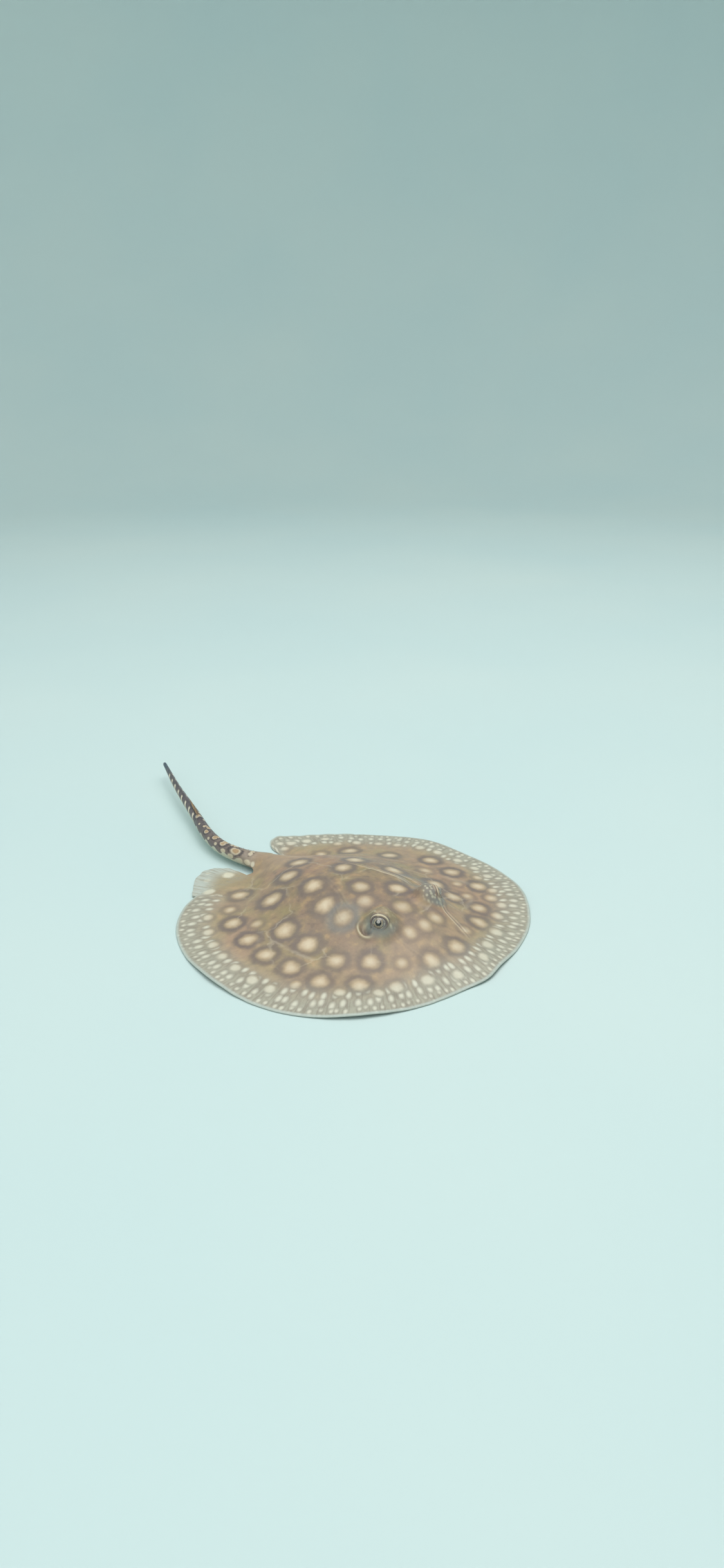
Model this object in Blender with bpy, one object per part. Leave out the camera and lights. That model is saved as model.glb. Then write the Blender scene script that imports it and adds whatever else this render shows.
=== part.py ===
"""A young ocellate freshwater stingray, life size, resting flat on its belly. Metres, +Z up.

The origin is on the belly under the middle of the disc. The snout points to -Y, the animal's left is +X and
the tail runs back to +Y, curving to the left. The disc is a low mound whose back and underside are height
functions of place; each named part is a slab cut from it by its own plan, with a thin gap to its neighbours.
"""

import math

import bmesh
import bpy
from mathutils import Vector

# The disc: head, trunk and the two pectoral fins that surround them.
DISC_HALF_WIDTH = 0.1015
SNOUT_REACH = 0.088  # from the origin forward, before the fleshy tip of the snout
REAR_REACH = 0.098
FRONT_ROUNDNESS = 2.1  # exponents of the outline: 2 is an ellipse, more is squarer
REAR_ROUNDNESS = 2.4
SNOUT_TIP = 0.0025
SNOUT_TIP_SPREAD = math.radians(7)
TAIL_DIP = 0.016  # how far the rear margin is drawn in beside the tail
TAIL_DIP_SPREAD = math.radians(24)

# Heights of the back.
EDGE_THICKNESS = 0.0010
FIN_RISE = 0.0101
FIN_FALL = 1.25  # exponent of the fall from the middle to the margin
TRUNK_ROUNDNESS = 2.6
# Along the body, at Y: how far the trunk rises above the fins, and how far its swelling spreads sideways.
TRUNK_RISE = (
    (-0.088, 0.0000),
    (-0.060, 0.0045),
    (-0.036, 0.0100),
    (-0.003, 0.0136),
    (0.022, 0.0132),
    (0.047, 0.0112),
    (0.067, 0.0102),
    (0.082, 0.0100),
)
TRUNK_SPREAD = (
    (-0.088, 0.022),
    (-0.060, 0.028),
    (-0.036, 0.032),
    (-0.003, 0.038),
    (0.022, 0.040),
    (0.047, 0.031),
    (0.067, 0.0170),
    (0.082, 0.0095),
)

# The margin lies in slow waves, and is lifted behind to clear the pelvic fins.
WAVE_LIFT = 0.0016
WAVES = 7
WAVE_SHIFT = 0.9
LIFT_START, LIFT_END = 0.74, 0.90  # shares of the way out to the margin
PELVIC_LIFT = 0.0024
PELVIC_LIFT_FROM, PELVIC_LIFT_TO = math.radians(128), math.radians(142)
TAIL_SIDE_IN, TAIL_SIDE_OUT = 0.010, 0.016  # between these the margin comes down to the tail's root

# Eyes on their knobs, and the spiracles behind them.
EYE_X, EYE_Y, EYE_Z = 0.0212, -0.0334, 0.0200
EYE_RADIUS = 0.0050
KNOB_X, KNOB_Y = 0.0193, -0.0328
KNOB_HEIGHT = 0.0085
KNOB_RADIUS = 0.0080
SPIRACLE_X, SPIRACLE_Y = 0.0250, -0.0232
SPIRACLE_LENGTH, SPIRACLE_WIDTH = 0.0054, 0.0037  # half sizes
SPIRACLE_DEPTH = 0.0042
SPIRACLE_FLOOR, SPIRACLE_RIM = 0.35, 1.35  # the wall runs between these shares of the half sizes
SPIRACLE_TURN = math.radians(25)

# The column of head and trunk: its half width at Y.
COLUMN = (
    (-0.092, 0.0135),
    (-0.058, 0.0240),
    (-0.036, 0.0315),
    (-0.013, 0.0360),
    (0.015, 0.0390),
    (0.045, 0.0310),
    (0.070, 0.0175),
    (0.082, 0.0127),
)
SNOUT_BACK = -0.058
HEAD_BACK = 0.012
COLUMN_BACK = 0.0815
FIN_BACK = 0.0790  # where the inner edge of a pectoral fin ends, beside the tail
FIN_FRONT_ANGLE = math.radians(9.4)
FIN_BACK_ANGLE = math.radians(168.5)
FIN_CROWDING = 0.85  # under 1, the rows of faces crowd towards the thin margin
GAP = 0.00015  # half of the gap between two neighbours
GAP_ANGLE = GAP / SNOUT_REACH  # the same at the margin of the snout, as an angle

# The tail: share of its length, then X, Y and Z of its middle.
TAIL_PATH = (
    (0.00, 0.0000, 0.0818, 0.0057),
    (0.09, -0.0060, 0.0960, 0.0061),
    (0.19, -0.0087, 0.1150, 0.0068),
    (0.31, -0.0052, 0.1350, 0.0080),
    (0.49, 0.0068, 0.1650, 0.0090),
    (0.75, 0.0243, 0.2080, 0.0101),
    (1.00, 0.0430, 0.2490, 0.0112),
)
TAIL_HALF_WIDTH = (0.0052, 0.0012)  # at the root and at the tip, without the flare
TAIL_HALF_HEIGHT = (0.0049, 0.0014)
TAIL_TAPER = 1.35  # exponent: more is thinner in the middle
FLARE_WIDTH, FLARE_HEIGHT = 0.0066, 0.0003  # what the root adds where the tail leaves the disc
FLARE_SHARE = 0.045
ROOT_BLEND = 0.10  # by this share the tail has left the trunk's form and direction
KEEL = 0.0010  # low fin fold along the top and the bottom of the rear half
KEEL_START, KEEL_FULL, KEEL_FADE = 0.5, 0.72, 0.9
KEEL_NARROWNESS = 24  # exponent: more is a thinner fold
TIP_ROUND = 0.985  # the last share of the tail rounds off to a blunt tip
TAIL_CUTS = (0.0, 0.34, 0.67, 1.0)
TAIL_LENGTH = 0.178  # along its path, for the gaps between its lengths
TAIL_SIDES = 14
TAIL_STATIONS = 14  # in each length

# The sting lies along the top of the tail.
STING_ROOT = 0.43
STING_LENGTH = 0.0245
STING_HALF_WIDTH = 0.0011
STING_HALF_THICKNESS = 0.00065
STING_PITCH = math.radians(3)
STING_CLEARANCE = 0.0003
STING_SIDES, STING_STATIONS = 8, 18
STING_TIP = 0.07  # share of its size that is left at the tip
BARB = 0.14  # how much every second ring is wider, within the barbed stretch
BARBS_FROM, BARBS_TO = 0.3, 0.95

# A pelvic fin: the two ends of its base under the margin of the disc, and its free margin from the inner
# corner outwards, as share of the margin, distance from the midline, and Y. The left one is spread wider.
PELVIC_BASE = {
    1: ((0.0172, 0.0785), (0.0570, 0.0765)),
    -1: ((0.0166, 0.0785), (0.0530, 0.0780)),
}
PELVIC_MARGIN = {
    1: (
        (0.00, 0.0182, 0.0930),
        (0.15, 0.0205, 0.1030),
        (0.30, 0.0265, 0.1105),
        (0.44, 0.0345, 0.1125),
        (0.62, 0.0425, 0.1045),
        (0.81, 0.0515, 0.0965),
        (1.00, 0.0600, 0.0890),
    ),
    -1: (
        (0.00, 0.0158, 0.0930),
        (0.15, 0.0175, 0.1015),
        (0.35, 0.0275, 0.1085),
        (0.55, 0.0375, 0.1055),
        (0.76, 0.0450, 0.0990),
        (1.00, 0.0540, 0.0885),
    ),
}
PELVIC_THICKNESS = (0.0016, 0.0009)  # at the base and at the margin
PELVIC_END = 0.1120


def smooth_step(low, high, value):
    """0 below low, 1 above high, and a smooth rise between them."""
    share = min(max((value - low) / (high - low), 0.0), 1.0)
    return share * share * (3 - 2 * share)


def through(stations, place):
    """The value at a place, from a smooth curve through stations of (place, value)."""
    place = min(max(place, stations[0][0]), stations[-1][0])
    last = len(stations) - 1
    i = max(k for k in range(last) if place >= stations[k][0])
    (p0, v0), (p1, v1) = stations[i], stations[i + 1]
    before = stations[max(i - 1, 0)]
    after = stations[min(i + 2, last)]
    slope0 = (v1 - before[1]) / (p1 - before[0])
    slope1 = (after[1] - v0) / (after[0] - p0)
    span = p1 - p0
    u = (place - p0) / span
    return (
        (1 + 2 * u) * (1 - u) ** 2 * v0
        + u * (1 - u) ** 2 * span * slope0
        + u * u * (3 - 2 * u) * v1
        + u * u * (u - 1) * span * slope1
    )


def rim_radius(angle):
    """Distance from the origin to the disc's margin, at an angle from the snout."""
    forward = math.cos(angle)
    reach = SNOUT_REACH if forward > 0 else REAR_REACH
    power = FRONT_ROUNDNESS if forward > 0 else REAR_ROUNDNESS
    sideways = abs(math.sin(angle) / DISC_HALF_WIDTH) ** power
    radius = (sideways + abs(forward / reach) ** power) ** (-1 / power)
    radius += SNOUT_TIP * math.exp(-((angle / SNOUT_TIP_SPREAD) ** 2))
    from_tail = math.pi - abs(angle)
    return radius - TAIL_DIP * math.exp(-((from_tail / TAIL_DIP_SPREAD) ** 2))


def rim_point(angle):
    radius = rim_radius(angle)
    return Vector((radius * math.sin(angle), -radius * math.cos(angle)))


def outwards(x, y):
    """Share of the way from the origin to the margin, and the angle from the snout."""
    angle = math.atan2(x, -y)
    return min(math.hypot(x, y) / rim_radius(angle), 1.0), angle


def underside(x, y):
    """Height of the belly: flat on the floor, with a lifted margin."""
    share, angle = outwards(x, y)
    lift = WAVE_LIFT * (0.5 + 0.5 * math.sin(WAVES * angle + WAVE_SHIFT)) ** 2
    behind = smooth_step(PELVIC_LIFT_FROM, PELVIC_LIFT_TO, abs(angle))
    beside_tail = smooth_step(TAIL_SIDE_IN, TAIL_SIDE_OUT, abs(x))
    lift += (PELVIC_LIFT - lift) * behind * beside_tail
    return lift * smooth_step(LIFT_START, LIFT_END, share)


def knob(x, y):
    """The rounded knob that carries an eye."""
    away = math.hypot(abs(x) - KNOB_X, y - KNOB_Y)
    return KNOB_HEIGHT * math.exp(-((away / KNOB_RADIUS) ** 3))


def spiracle(x, y):
    """The breathing hole behind an eye, an oval pit that runs outwards and back."""
    dx, dy = abs(x) - SPIRACLE_X, y - SPIRACLE_Y
    length = dy * math.cos(SPIRACLE_TURN) + dx * math.sin(SPIRACLE_TURN)
    width = dx * math.cos(SPIRACLE_TURN) - dy * math.sin(SPIRACLE_TURN)
    away = math.hypot(length / SPIRACLE_LENGTH, width / SPIRACLE_WIDTH)
    return SPIRACLE_DEPTH * (1 - smooth_step(SPIRACLE_FLOOR, SPIRACLE_RIM, away))


def back(x, y):
    """Height of the animal's back."""
    share, _ = outwards(x, y)
    fin = EDGE_THICKNESS + FIN_RISE * (1 - share * share) ** FIN_FALL
    spread = through(TRUNK_SPREAD, y)
    trunk = through(TRUNK_RISE, y) * math.exp(-((abs(x) / spread) ** TRUNK_ROUNDNESS))
    return underside(x, y) + fin + trunk + knob(x, y) - spiracle(x, y)


def material(name, colour, roughness):
    made = bpy.data.materials.new(name)
    made.use_nodes = True
    shader = made.node_tree.nodes["Principled BSDF"]
    shader.inputs["Base Color"].default_value = (*colour, 1.0)
    shader.inputs["Roughness"].default_value = roughness
    return made


def finish(name, body, finish_material):
    """Turns the finished bmesh into a named object."""
    bmesh.ops.recalc_face_normals(body, faces=body.faces)
    mesh = bpy.data.meshes.new(name)
    body.to_mesh(mesh)
    body.free()
    made = bpy.data.objects.new(name, mesh)
    bpy.context.scene.collection.objects.link(made)
    made.data.materials.append(finish_material)
    made.data.shade_smooth()
    made.data.set_sharp_from_angle(angle=math.radians(50))
    return made


def slab(name, plan, across, along, heights, finish_material):
    """A closed solid over plan(u, v), between the two heights that heights(x, y) gives."""
    body = bmesh.new()
    bmesh.ops.create_grid(body, x_segments=across, y_segments=along, size=0.5)
    raised = bmesh.ops.extrude_face_region(body, geom=body.faces[:])["geom"]
    upper = {part for part in raised if isinstance(part, bmesh.types.BMVert)}
    for vert in body.verts:
        x, y = plan(vert.co.x + 0.5, vert.co.y + 0.5)
        low, high = heights(x, y)
        vert.co = (x, y, high if vert in upper else low)
    flat = [face for face in body.faces if all(abs(v.co.z) < 1e-6 for v in face.verts)]
    if len(flat) > 1:
        bmesh.ops.dissolve_faces(body, faces=flat)
    return finish(name, body, finish_material)


def disc_heights(x, y):
    return underside(x, y), back(x, y)


def column_plan(front, rear):
    """The plan of a length of the column, between its ends at two values of Y."""

    def plan(u, v):
        y = front + v * (rear - front)
        return (2 * u - 1) * (through(COLUMN, y) - GAP), y

    return plan


def snout_plan(u, v):
    """The plan of the snout, fanned between the margin in front and the head behind."""
    side = 2 * u - 1
    front = rim_point(side * (FIN_FRONT_ANGLE - GAP_ANGLE))
    rear = Vector((side * (through(COLUMN, SNOUT_BACK) - GAP), SNOUT_BACK - GAP))
    return front.lerp(rear, v)


def fin_plan(side):
    """The plan of a pectoral fin, from the column's edge out to the margin."""

    def plan(u, v):
        y = SNOUT_BACK + u * (FIN_BACK - SNOUT_BACK)
        inner = Vector((through(COLUMN, y) + GAP, y))
        first = FIN_FRONT_ANGLE + GAP_ANGLE
        angle = first + u * (FIN_BACK_ANGLE - first)
        outer = rim_point(angle)
        x, y = inner + (outer - inner) * v**FIN_CROWDING
        return side * x, y

    return plan


def pelvic_plan(side):
    def plan(u, v):
        inner, outer = (Vector(end) for end in PELVIC_BASE[side])
        margin = [through([(row[0], row[k]) for row in PELVIC_MARGIN[side]], u) for k in (1, 2)]
        x, y = inner.lerp(outer, u).lerp(Vector(margin), v)
        return side * x, y

    return plan


def pelvic_heights(x, y):
    thick, thin = PELVIC_THICKNESS
    outward = smooth_step(PELVIC_BASE[1][0][1], PELVIC_END, y)
    return 0.0, thick + (thin - thick) * outward


def tail_centre(share):
    return Vector([through([(row[0], row[k]) for row in TAIL_PATH], share) for k in (1, 2, 3)])


def tail_frame(share):
    """The middle of the tail, its direction, and the side and up directions across it."""
    step = 0.01
    ahead = tail_centre(min(share + step, 1.0)) - tail_centre(max(share - step, 0.0))
    along = Vector((0, 1, 0)).lerp(ahead.normalized(), smooth_step(0, ROOT_BLEND, share))
    along.normalize()
    side = along.cross(Vector((0, 0, 1))).normalized()
    return tail_centre(share), along, side, side.cross(along)


def tail_halves(share):
    """Half width and half height of the tail."""
    flare = math.exp(-share / FLARE_SHARE)
    tip = max(share - TIP_ROUND, 0.0) / (1 - TIP_ROUND)
    end = math.sqrt(1 - 0.85 * tip * tip)
    left = (1 - share) ** TAIL_TAPER
    width = TAIL_HALF_WIDTH[1] + left * (TAIL_HALF_WIDTH[0] - TAIL_HALF_WIDTH[1])
    height = TAIL_HALF_HEIGHT[1] + left * (TAIL_HALF_HEIGHT[0] - TAIL_HALF_HEIGHT[1])
    return (width + FLARE_WIDTH * flare) * end, (height + FLARE_HEIGHT * flare) * end


def tail_point(share, angle):
    """A point on the tail's skin. Angle 0 is the animal's left and a quarter turn is the top."""
    centre, _, side, up = tail_frame(share)
    half_width, half_height = tail_halves(share)
    keel = KEEL * smooth_step(KEEL_START, KEEL_FULL, share) * (1 - smooth_step(KEEL_FADE, 1, share))
    crest = abs(math.sin(angle)) ** KEEL_NARROWNESS
    point = centre + side * (half_width * math.cos(angle))
    point += up * (math.sin(angle) * (half_height + keel * crest))
    if share < ROOT_BLEND:
        root = 1 - smooth_step(0.0, ROOT_BLEND, share)
        cap = back(point.x, COLUMN_BACK)
        point.z -= root * max(point.z - cap, 0.0)
    return point


def extrude_rings(body, sides, rings):
    """Draws one capped ring out through all the rings of points, which stay in order around."""
    around = body.verts.layers.int.new("around")
    bmesh.ops.create_circle(body, cap_ends=True, segments=sides, radius=1.0)
    body.verts.ensure_lookup_table()
    for k, vert in enumerate(body.verts):
        vert[around] = k
        vert.co = rings[0][k]
    body.faces.ensure_lookup_table()
    cap = body.faces[0]
    for ring in rings[1:]:
        made = bmesh.ops.extrude_face_region(body, geom=[cap, *cap.edges])["geom"]
        cap = next(part for part in made if isinstance(part, bmesh.types.BMFace))
        for vert in cap.verts:
            vert.co = ring[vert[around]]


def tail_piece(name, start, end, finish_material):
    """One length of the tail, between two shares of it."""
    body = bmesh.new()
    rings = []
    for i in range(TAIL_STATIONS + 1):
        share = start + (end - start) * i / TAIL_STATIONS
        rings.append([tail_point(share, 2 * math.pi * k / TAIL_SIDES) for k in range(TAIL_SIDES)])
    extrude_rings(body, TAIL_SIDES, rings)
    return finish(name, body, finish_material)


def sting(finish_material):
    """A flat barbed spine, straight, on top of the tail and pointing back."""
    centre, along, side, up = tail_frame(STING_ROOT)
    top = centre + up * (tail_halves(STING_ROOT)[1] + STING_CLEARANCE + STING_HALF_THICKNESS)
    direction = (along + up * math.tan(STING_PITCH)).normalized()
    raised = side.cross(direction)
    rings = []
    for i in range(STING_STATIONS + 1):
        share = i / STING_STATIONS
        taper = STING_TIP + (1 - STING_TIP) * (1 - share * share)
        barb = 1 + (BARB if i % 2 and BARBS_FROM < share < BARBS_TO else 0)
        middle = top + direction * (STING_LENGTH * share)
        ring = []
        for k in range(STING_SIDES):
            angle = 2 * math.pi * k / STING_SIDES
            out = side * (math.cos(angle) * STING_HALF_WIDTH * taper * barb)
            ring.append(middle + out + raised * (math.sin(angle) * STING_HALF_THICKNESS * taper))
        rings.append(ring)
    body = bmesh.new()
    extrude_rings(body, STING_SIDES, rings)
    return finish("tail_sting", body, finish_material)


def eyeball(name, side, radius, finish_material):
    body = bmesh.new()
    bmesh.ops.create_uvsphere(body, u_segments=18, v_segments=10, radius=radius)
    bmesh.ops.translate(body, vec=(side * EYE_X, EYE_Y, EYE_Z), verts=body.verts)
    return finish(name, body, finish_material)


def cut_socket(head, side, finish_material):
    """Cuts the room for an eyeball out of the head."""
    cutter = eyeball("socket_cutter", side, EYE_RADIUS + 2 * GAP, finish_material)
    cutter.hide_render = True
    cutter.display_type = "WIRE"
    cut = head.modifiers.new("socket", "BOOLEAN")
    cut.operation = "DIFFERENCE"
    cut.solver = "EXACT"
    cut.object = cutter


def build():
    for old in list(bpy.data.objects):
        bpy.data.objects.remove(old)
    skin = material("spotted_skin", (0.30, 0.21, 0.13), 0.5)
    pale_skin = material("pale_fin_skin", (0.50, 0.45, 0.34), 0.5)
    dark_skin = material("tail_skin", (0.12, 0.09, 0.07), 0.5)
    wet_eye = material("eye", (0.05, 0.045, 0.04), 0.1)
    spine = material("sting_dentine", (0.55, 0.42, 0.26), 0.4)

    slab("snout", snout_plan, 10, 9, disc_heights, skin)
    head = slab("head", column_plan(SNOUT_BACK + GAP, HEAD_BACK - GAP), 28, 29, disc_heights, skin)
    slab("trunk", column_plan(HEAD_BACK + GAP, COLUMN_BACK), 14, 20, disc_heights, skin)
    for side, word in ((1, "left"), (-1, "right")):
        slab(f"pectoral_fin_{word}", fin_plan(side), 40, 10, disc_heights, skin)
        slab(f"pelvic_fin_{word}", pelvic_plan(side), 12, 5, pelvic_heights, pale_skin)
        eyeball(f"eye_{word}", side, EYE_RADIUS, wet_eye)
        cut_socket(head, side, wet_eye)
    names = ("tail_base", "tail_middle", "tail_end")
    for name, start, end in zip(names, TAIL_CUTS, TAIL_CUTS[1:]):
        opening = 2 * GAP / TAIL_LENGTH if start else 0.0
        tail_piece(name, start + opening, end, dark_skin)
    sting(spine)


build()
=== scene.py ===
# %% [markdown]
# # A young freshwater stingray, at rest
# A river stingray is a flat disc of skin and cartilage with a whip of a tail. This lesson makes its looks
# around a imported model: one closed skin, two wet eyes, the sting and rows of small thorns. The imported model
# comes first, because every size below is read from it or has to agree with it.

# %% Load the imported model
import math

import bmesh
import bpy
import numpy as np
from mathutils import Matrix, Vector, noise


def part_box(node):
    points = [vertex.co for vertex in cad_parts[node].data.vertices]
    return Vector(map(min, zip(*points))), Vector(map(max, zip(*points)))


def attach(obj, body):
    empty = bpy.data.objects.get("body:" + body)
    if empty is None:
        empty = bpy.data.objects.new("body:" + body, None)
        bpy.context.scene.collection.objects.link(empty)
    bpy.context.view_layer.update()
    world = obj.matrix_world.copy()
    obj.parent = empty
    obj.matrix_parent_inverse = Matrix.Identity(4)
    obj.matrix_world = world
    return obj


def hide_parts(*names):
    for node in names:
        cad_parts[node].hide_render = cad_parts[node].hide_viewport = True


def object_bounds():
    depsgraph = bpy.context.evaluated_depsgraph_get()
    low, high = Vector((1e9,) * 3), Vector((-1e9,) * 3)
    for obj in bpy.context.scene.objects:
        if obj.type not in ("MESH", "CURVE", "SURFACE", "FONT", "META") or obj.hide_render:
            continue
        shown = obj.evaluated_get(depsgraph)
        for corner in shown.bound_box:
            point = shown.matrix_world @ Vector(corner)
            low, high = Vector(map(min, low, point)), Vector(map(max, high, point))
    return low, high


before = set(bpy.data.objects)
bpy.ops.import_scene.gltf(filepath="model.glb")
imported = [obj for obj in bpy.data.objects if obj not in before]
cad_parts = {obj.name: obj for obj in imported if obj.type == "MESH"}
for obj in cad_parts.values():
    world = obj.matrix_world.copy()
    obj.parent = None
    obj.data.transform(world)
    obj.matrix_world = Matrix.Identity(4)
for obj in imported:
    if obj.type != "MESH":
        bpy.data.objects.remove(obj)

MM = 0.001
cad_bounds = [list(corner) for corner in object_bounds()]
low = {name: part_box(name)[0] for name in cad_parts}
high = {name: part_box(name)[1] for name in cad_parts}


def in_mm(corners):
    return [[round(v / MM, 1) for v in corner] for corner in corners]


print("solids:", sorted(low))
print("whole box in mm:", in_mm(cad_bounds))

# %% [markdown]
# ## The camera
# The animal is looked down on from ahead of its right side, a little over half a metre away, as a visitor
# looks at a low display. The camera keeps a level horizon, so two angles and a place say all of it. It comes
# before the shapes, so that every later step can be judged in its view.

# %% Place the camera
CAMERA_PLACE = Vector((-0.3758, -0.3670, 0.3118))
HEADING = math.radians(-45.6)  # from +Y, positive to the left
PITCH = math.radians(23.5)  # below the horizon
LENS, SENSOR = 24.36, 36.0


def add(name, data):
    """A new object in the scene."""
    made = bpy.data.objects.new(name, data)
    bpy.context.scene.collection.objects.link(made)
    return made


view_data = bpy.data.cameras.new("camera")
view_data.lens = LENS
view_data.sensor_width = SENSOR
view_data.clip_start = 0.01
camera = add("camera", view_data)
camera.location = CAMERA_PLACE
camera.rotation_euler = (math.pi / 2 - PITCH, 0, HEADING)
bpy.context.scene.camera = camera
ahead = Vector((-math.sin(HEADING), math.cos(HEADING), 0))
rightward = Vector((ahead.y, -ahead.x, 0))
print("camera to origin, in mm:", round(CAMERA_PLACE.length / MM))

# %% [markdown]
# ## Colours and nodes
# A colour given here is an sRGB hex value, and a shader works in linear light, so one function turns the
# first into the second. Materials here are long chains of nodes. One function adds a node to the material at
# hand, `tree`, and another lays paint over paint, so that each material reads as a list of layers.

# %% Helpers for materials
def colour(code):
    """Linear RGBA from an sRGB hex value."""
    parts = [int(code[k : k + 2], 16) / 255 for k in (1, 3, 5)]
    return (*[p / 12.92 if p <= 0.04045 else ((p + 0.055) / 1.055) ** 2.4 for p in parts], 1.0)


def plug(made, sockets):
    """Sets a node's inputs to values or colours, or links them from a (node, output) pair."""
    for name, value in sockets.items():
        if isinstance(value, tuple) and isinstance(value[0], bpy.types.Node):
            tree.links.new(value[0].outputs[value[1]], made.inputs[name])
        else:
            made.inputs[name].default_value = colour(value) if isinstance(value, str) else value


def node(kind, sockets=None, output=0, **settings):
    """Adds a node with its settings and inputs, and gives it with one of its outputs, as a pair."""
    made = tree.nodes.new("ShaderNode" + kind)
    for name, value in settings.items():
        setattr(made, name, value)
    plug(made, sockets or {})
    return made, output


def over(paint, *layers, blend="MIX"):
    """Lays colours over a ground, each with its amount."""
    for tint, amount in layers:
        paint = node("Mix", {0: amount, 6: paint, 7: tint}, 2, data_type="RGBA", blend_type=blend)
    return paint


def new_material(name):
    """An empty material with its Principled shader."""
    made = bpy.data.materials.new(name)
    made.use_nodes = True
    return made, made.node_tree, made.node_tree.nodes["Principled BSDF"]


# %% [markdown]
# ## Floor and light
# The floor is one pale sweep that turns up into a wall all round, like a cove in a studio, so that no
# horizon shows from any side. A wide strong lamp hangs overhead, a second one beyond the animal's left
# shapes the soft shadows, and a third over the camera opens them up.

# %% Make the cove
COVE_RADIUS, COVE_BEND, COVE_HEIGHT = 2.4, 0.9, 2.2
COVE_STEPS, COVE_SECTORS = 12, 64


def as_object(name, body):
    """Turns a finished bmesh into an object at the origin."""
    mesh = bpy.data.meshes.new(name)
    body.to_mesh(mesh)
    body.free()
    return add(name, mesh)


cove = bmesh.new()
profile = [(0.0, 0.0)]
for i in range(COVE_STEPS + 1):
    turn = math.pi / 2 * i / COVE_STEPS
    profile.append((COVE_RADIUS - COVE_BEND + COVE_BEND * math.sin(turn), COVE_BEND * (1 - math.cos(turn))))
profile.append((COVE_RADIUS, COVE_HEIGHT))
corners = [cove.verts.new((out, 0, up)) for out, up in profile]
for pair in zip(corners, corners[1:]):
    cove.edges.new(pair)
bmesh.ops.spin(
    cove, geom=cove.verts[:] + cove.edges[:], axis=(0, 0, 1), cent=(0, 0, 0),
    angle=2 * math.pi, steps=COVE_SECTORS, use_merge=True,
)
bmesh.ops.remove_doubles(cove, verts=cove.verts, dist=1e-5)
bmesh.ops.recalc_face_normals(cove, faces=cove.faces)
if sum(face.normal.z for face in cove.faces) < 0:
    bmesh.ops.reverse_faces(cove, faces=cove.faces)
floor = as_object("floor", cove)
floor.data.shade_smooth()

# Matt painted board: pale blue-green, faintly uneven where the roller went.
board, tree, shader = new_material("painted_board")
cloud = node("TexNoise", {"Vector": node("TexCoord", output="Object"), "Scale": 3.0, "Detail": 2.0})
plug(shader, {"Base Color": over("#c3d9d9", ("#d0dfdb", cloud)), "Roughness": 0.75})
floor.data.materials.append(board)
print("cove across, in m:", 2 * COVE_RADIUS)

# %% Hang the lamps
LAMPS = (  # name, ahead, rightward and up from the origin, size, watts, colour
    ("key", 0.35, 0.50, 1.60, 1.7, 11.0, "#fffdfb"),
    ("fill", -1.10, -0.40, 1.30, 1.8, 9.0, "#fdfeff"),
    ("top", 0.05, -0.15, 2.00, 2.2, 21.0, "#fdffff"),
)
for name, forward, sideways, up, size, power, tint in LAMPS:
    data = bpy.data.lights.new(name, "AREA")
    data.shape = "DISK"
    data.size = size
    data.energy = power
    data.color = colour(tint)[:3]
    lamp = add(name, data)
    lamp.location = ahead * forward + rightward * sideways + Vector((0, 0, up))
    lamp.rotation_euler = (-lamp.location).to_track_quat("-Z", "Y").to_euler()
world = bpy.data.worlds.new("sky")
world.use_nodes = True
sky = world.node_tree.nodes["Background"].inputs
sky["Color"].default_value = colour("#e4f3f6")
sky["Strength"].default_value = 0.25
bpy.context.scene.world = world
bpy.context.scene.view_settings.view_transform = "Standard"
print("lamps:", [row[0] for row in LAMPS])

# %% [markdown]
# ## The outline and the heights of the disc
# The skin has to lie on the solids, so it uses the same outline and height functions, with widths and
# reaches read from the solids' boxes. It then adds what is too fine for them: an uneven margin, low
# swellings of muscle, and folds beside the head.

# %% Sizes of the disc
HALF_WIDTH = high["pectoral_fin_left"].x
SNOUT_TIP, SNOUT_TIP_SPREAD = 2.5 * MM, math.radians(7)
SNOUT_REACH = -low["snout"].y - SNOUT_TIP
REAR_REACH = 98 * MM
FRONT_ROUNDNESS, REAR_ROUNDNESS = 2.1, 2.4
TAIL_DIP, TAIL_DIP_SPREAD = 16 * MM, math.radians(24)
EDGE_THICKNESS, FIN_RISE, FIN_FALL = 1.0 * MM, 10.1 * MM, 1.25
TRUNK_ROUNDNESS = 2.6
# Y, rise of the trunk over the fins and its sideways spread, in mm.
TRUNK = (
    (-88, 0.0, 22.0), (-60, 4.5, 28.0), (-36, 10.0, 32.0), (-3, 13.6, 38.0),
    (22, 13.2, 40.0), (47, 11.2, 31.0), (67, 10.2, 17.0), (82, 10.0, 9.5),
)
WAVE_LIFT, WAVES, WAVE_SHIFT = 1.6 * MM, 7, 0.9
LIFT_START, LIFT_END = 0.74, 0.90
PELVIC_LIFT = 1.1 * MM  # lower than on the solids, so that the margin lies down on the pelvic fins
PELVIC_FROM, PELVIC_TO = math.radians(128), math.radians(142)
TAIL_SIDE_IN, TAIL_SIDE_OUT = 10 * MM, 16 * MM
EYE_CENTRE = (low["eye_left"] + high["eye_left"]) / 2
EYE_RADIUS = (high["eye_left"].z - low["eye_left"].z) / 2
KNOB_X, KNOB_Y = 19.3 * MM, -32.8 * MM
KNOB_HEIGHT, KNOB_RADIUS = 8.5 * MM, 8.0 * MM
MARGIN_UNEVEN = 0.5 * MM
SWELLING = 0.45 * MM


def smooth_step(start, end, value):
    """0 before start, 1 after end, and a smooth rise between them."""
    share = min(max((value - start) / (end - start), 0.0), 1.0)
    return share * share * (3 - 2 * share)


def bell(distance, width):
    return math.exp(-((distance / width) ** 2))


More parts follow.
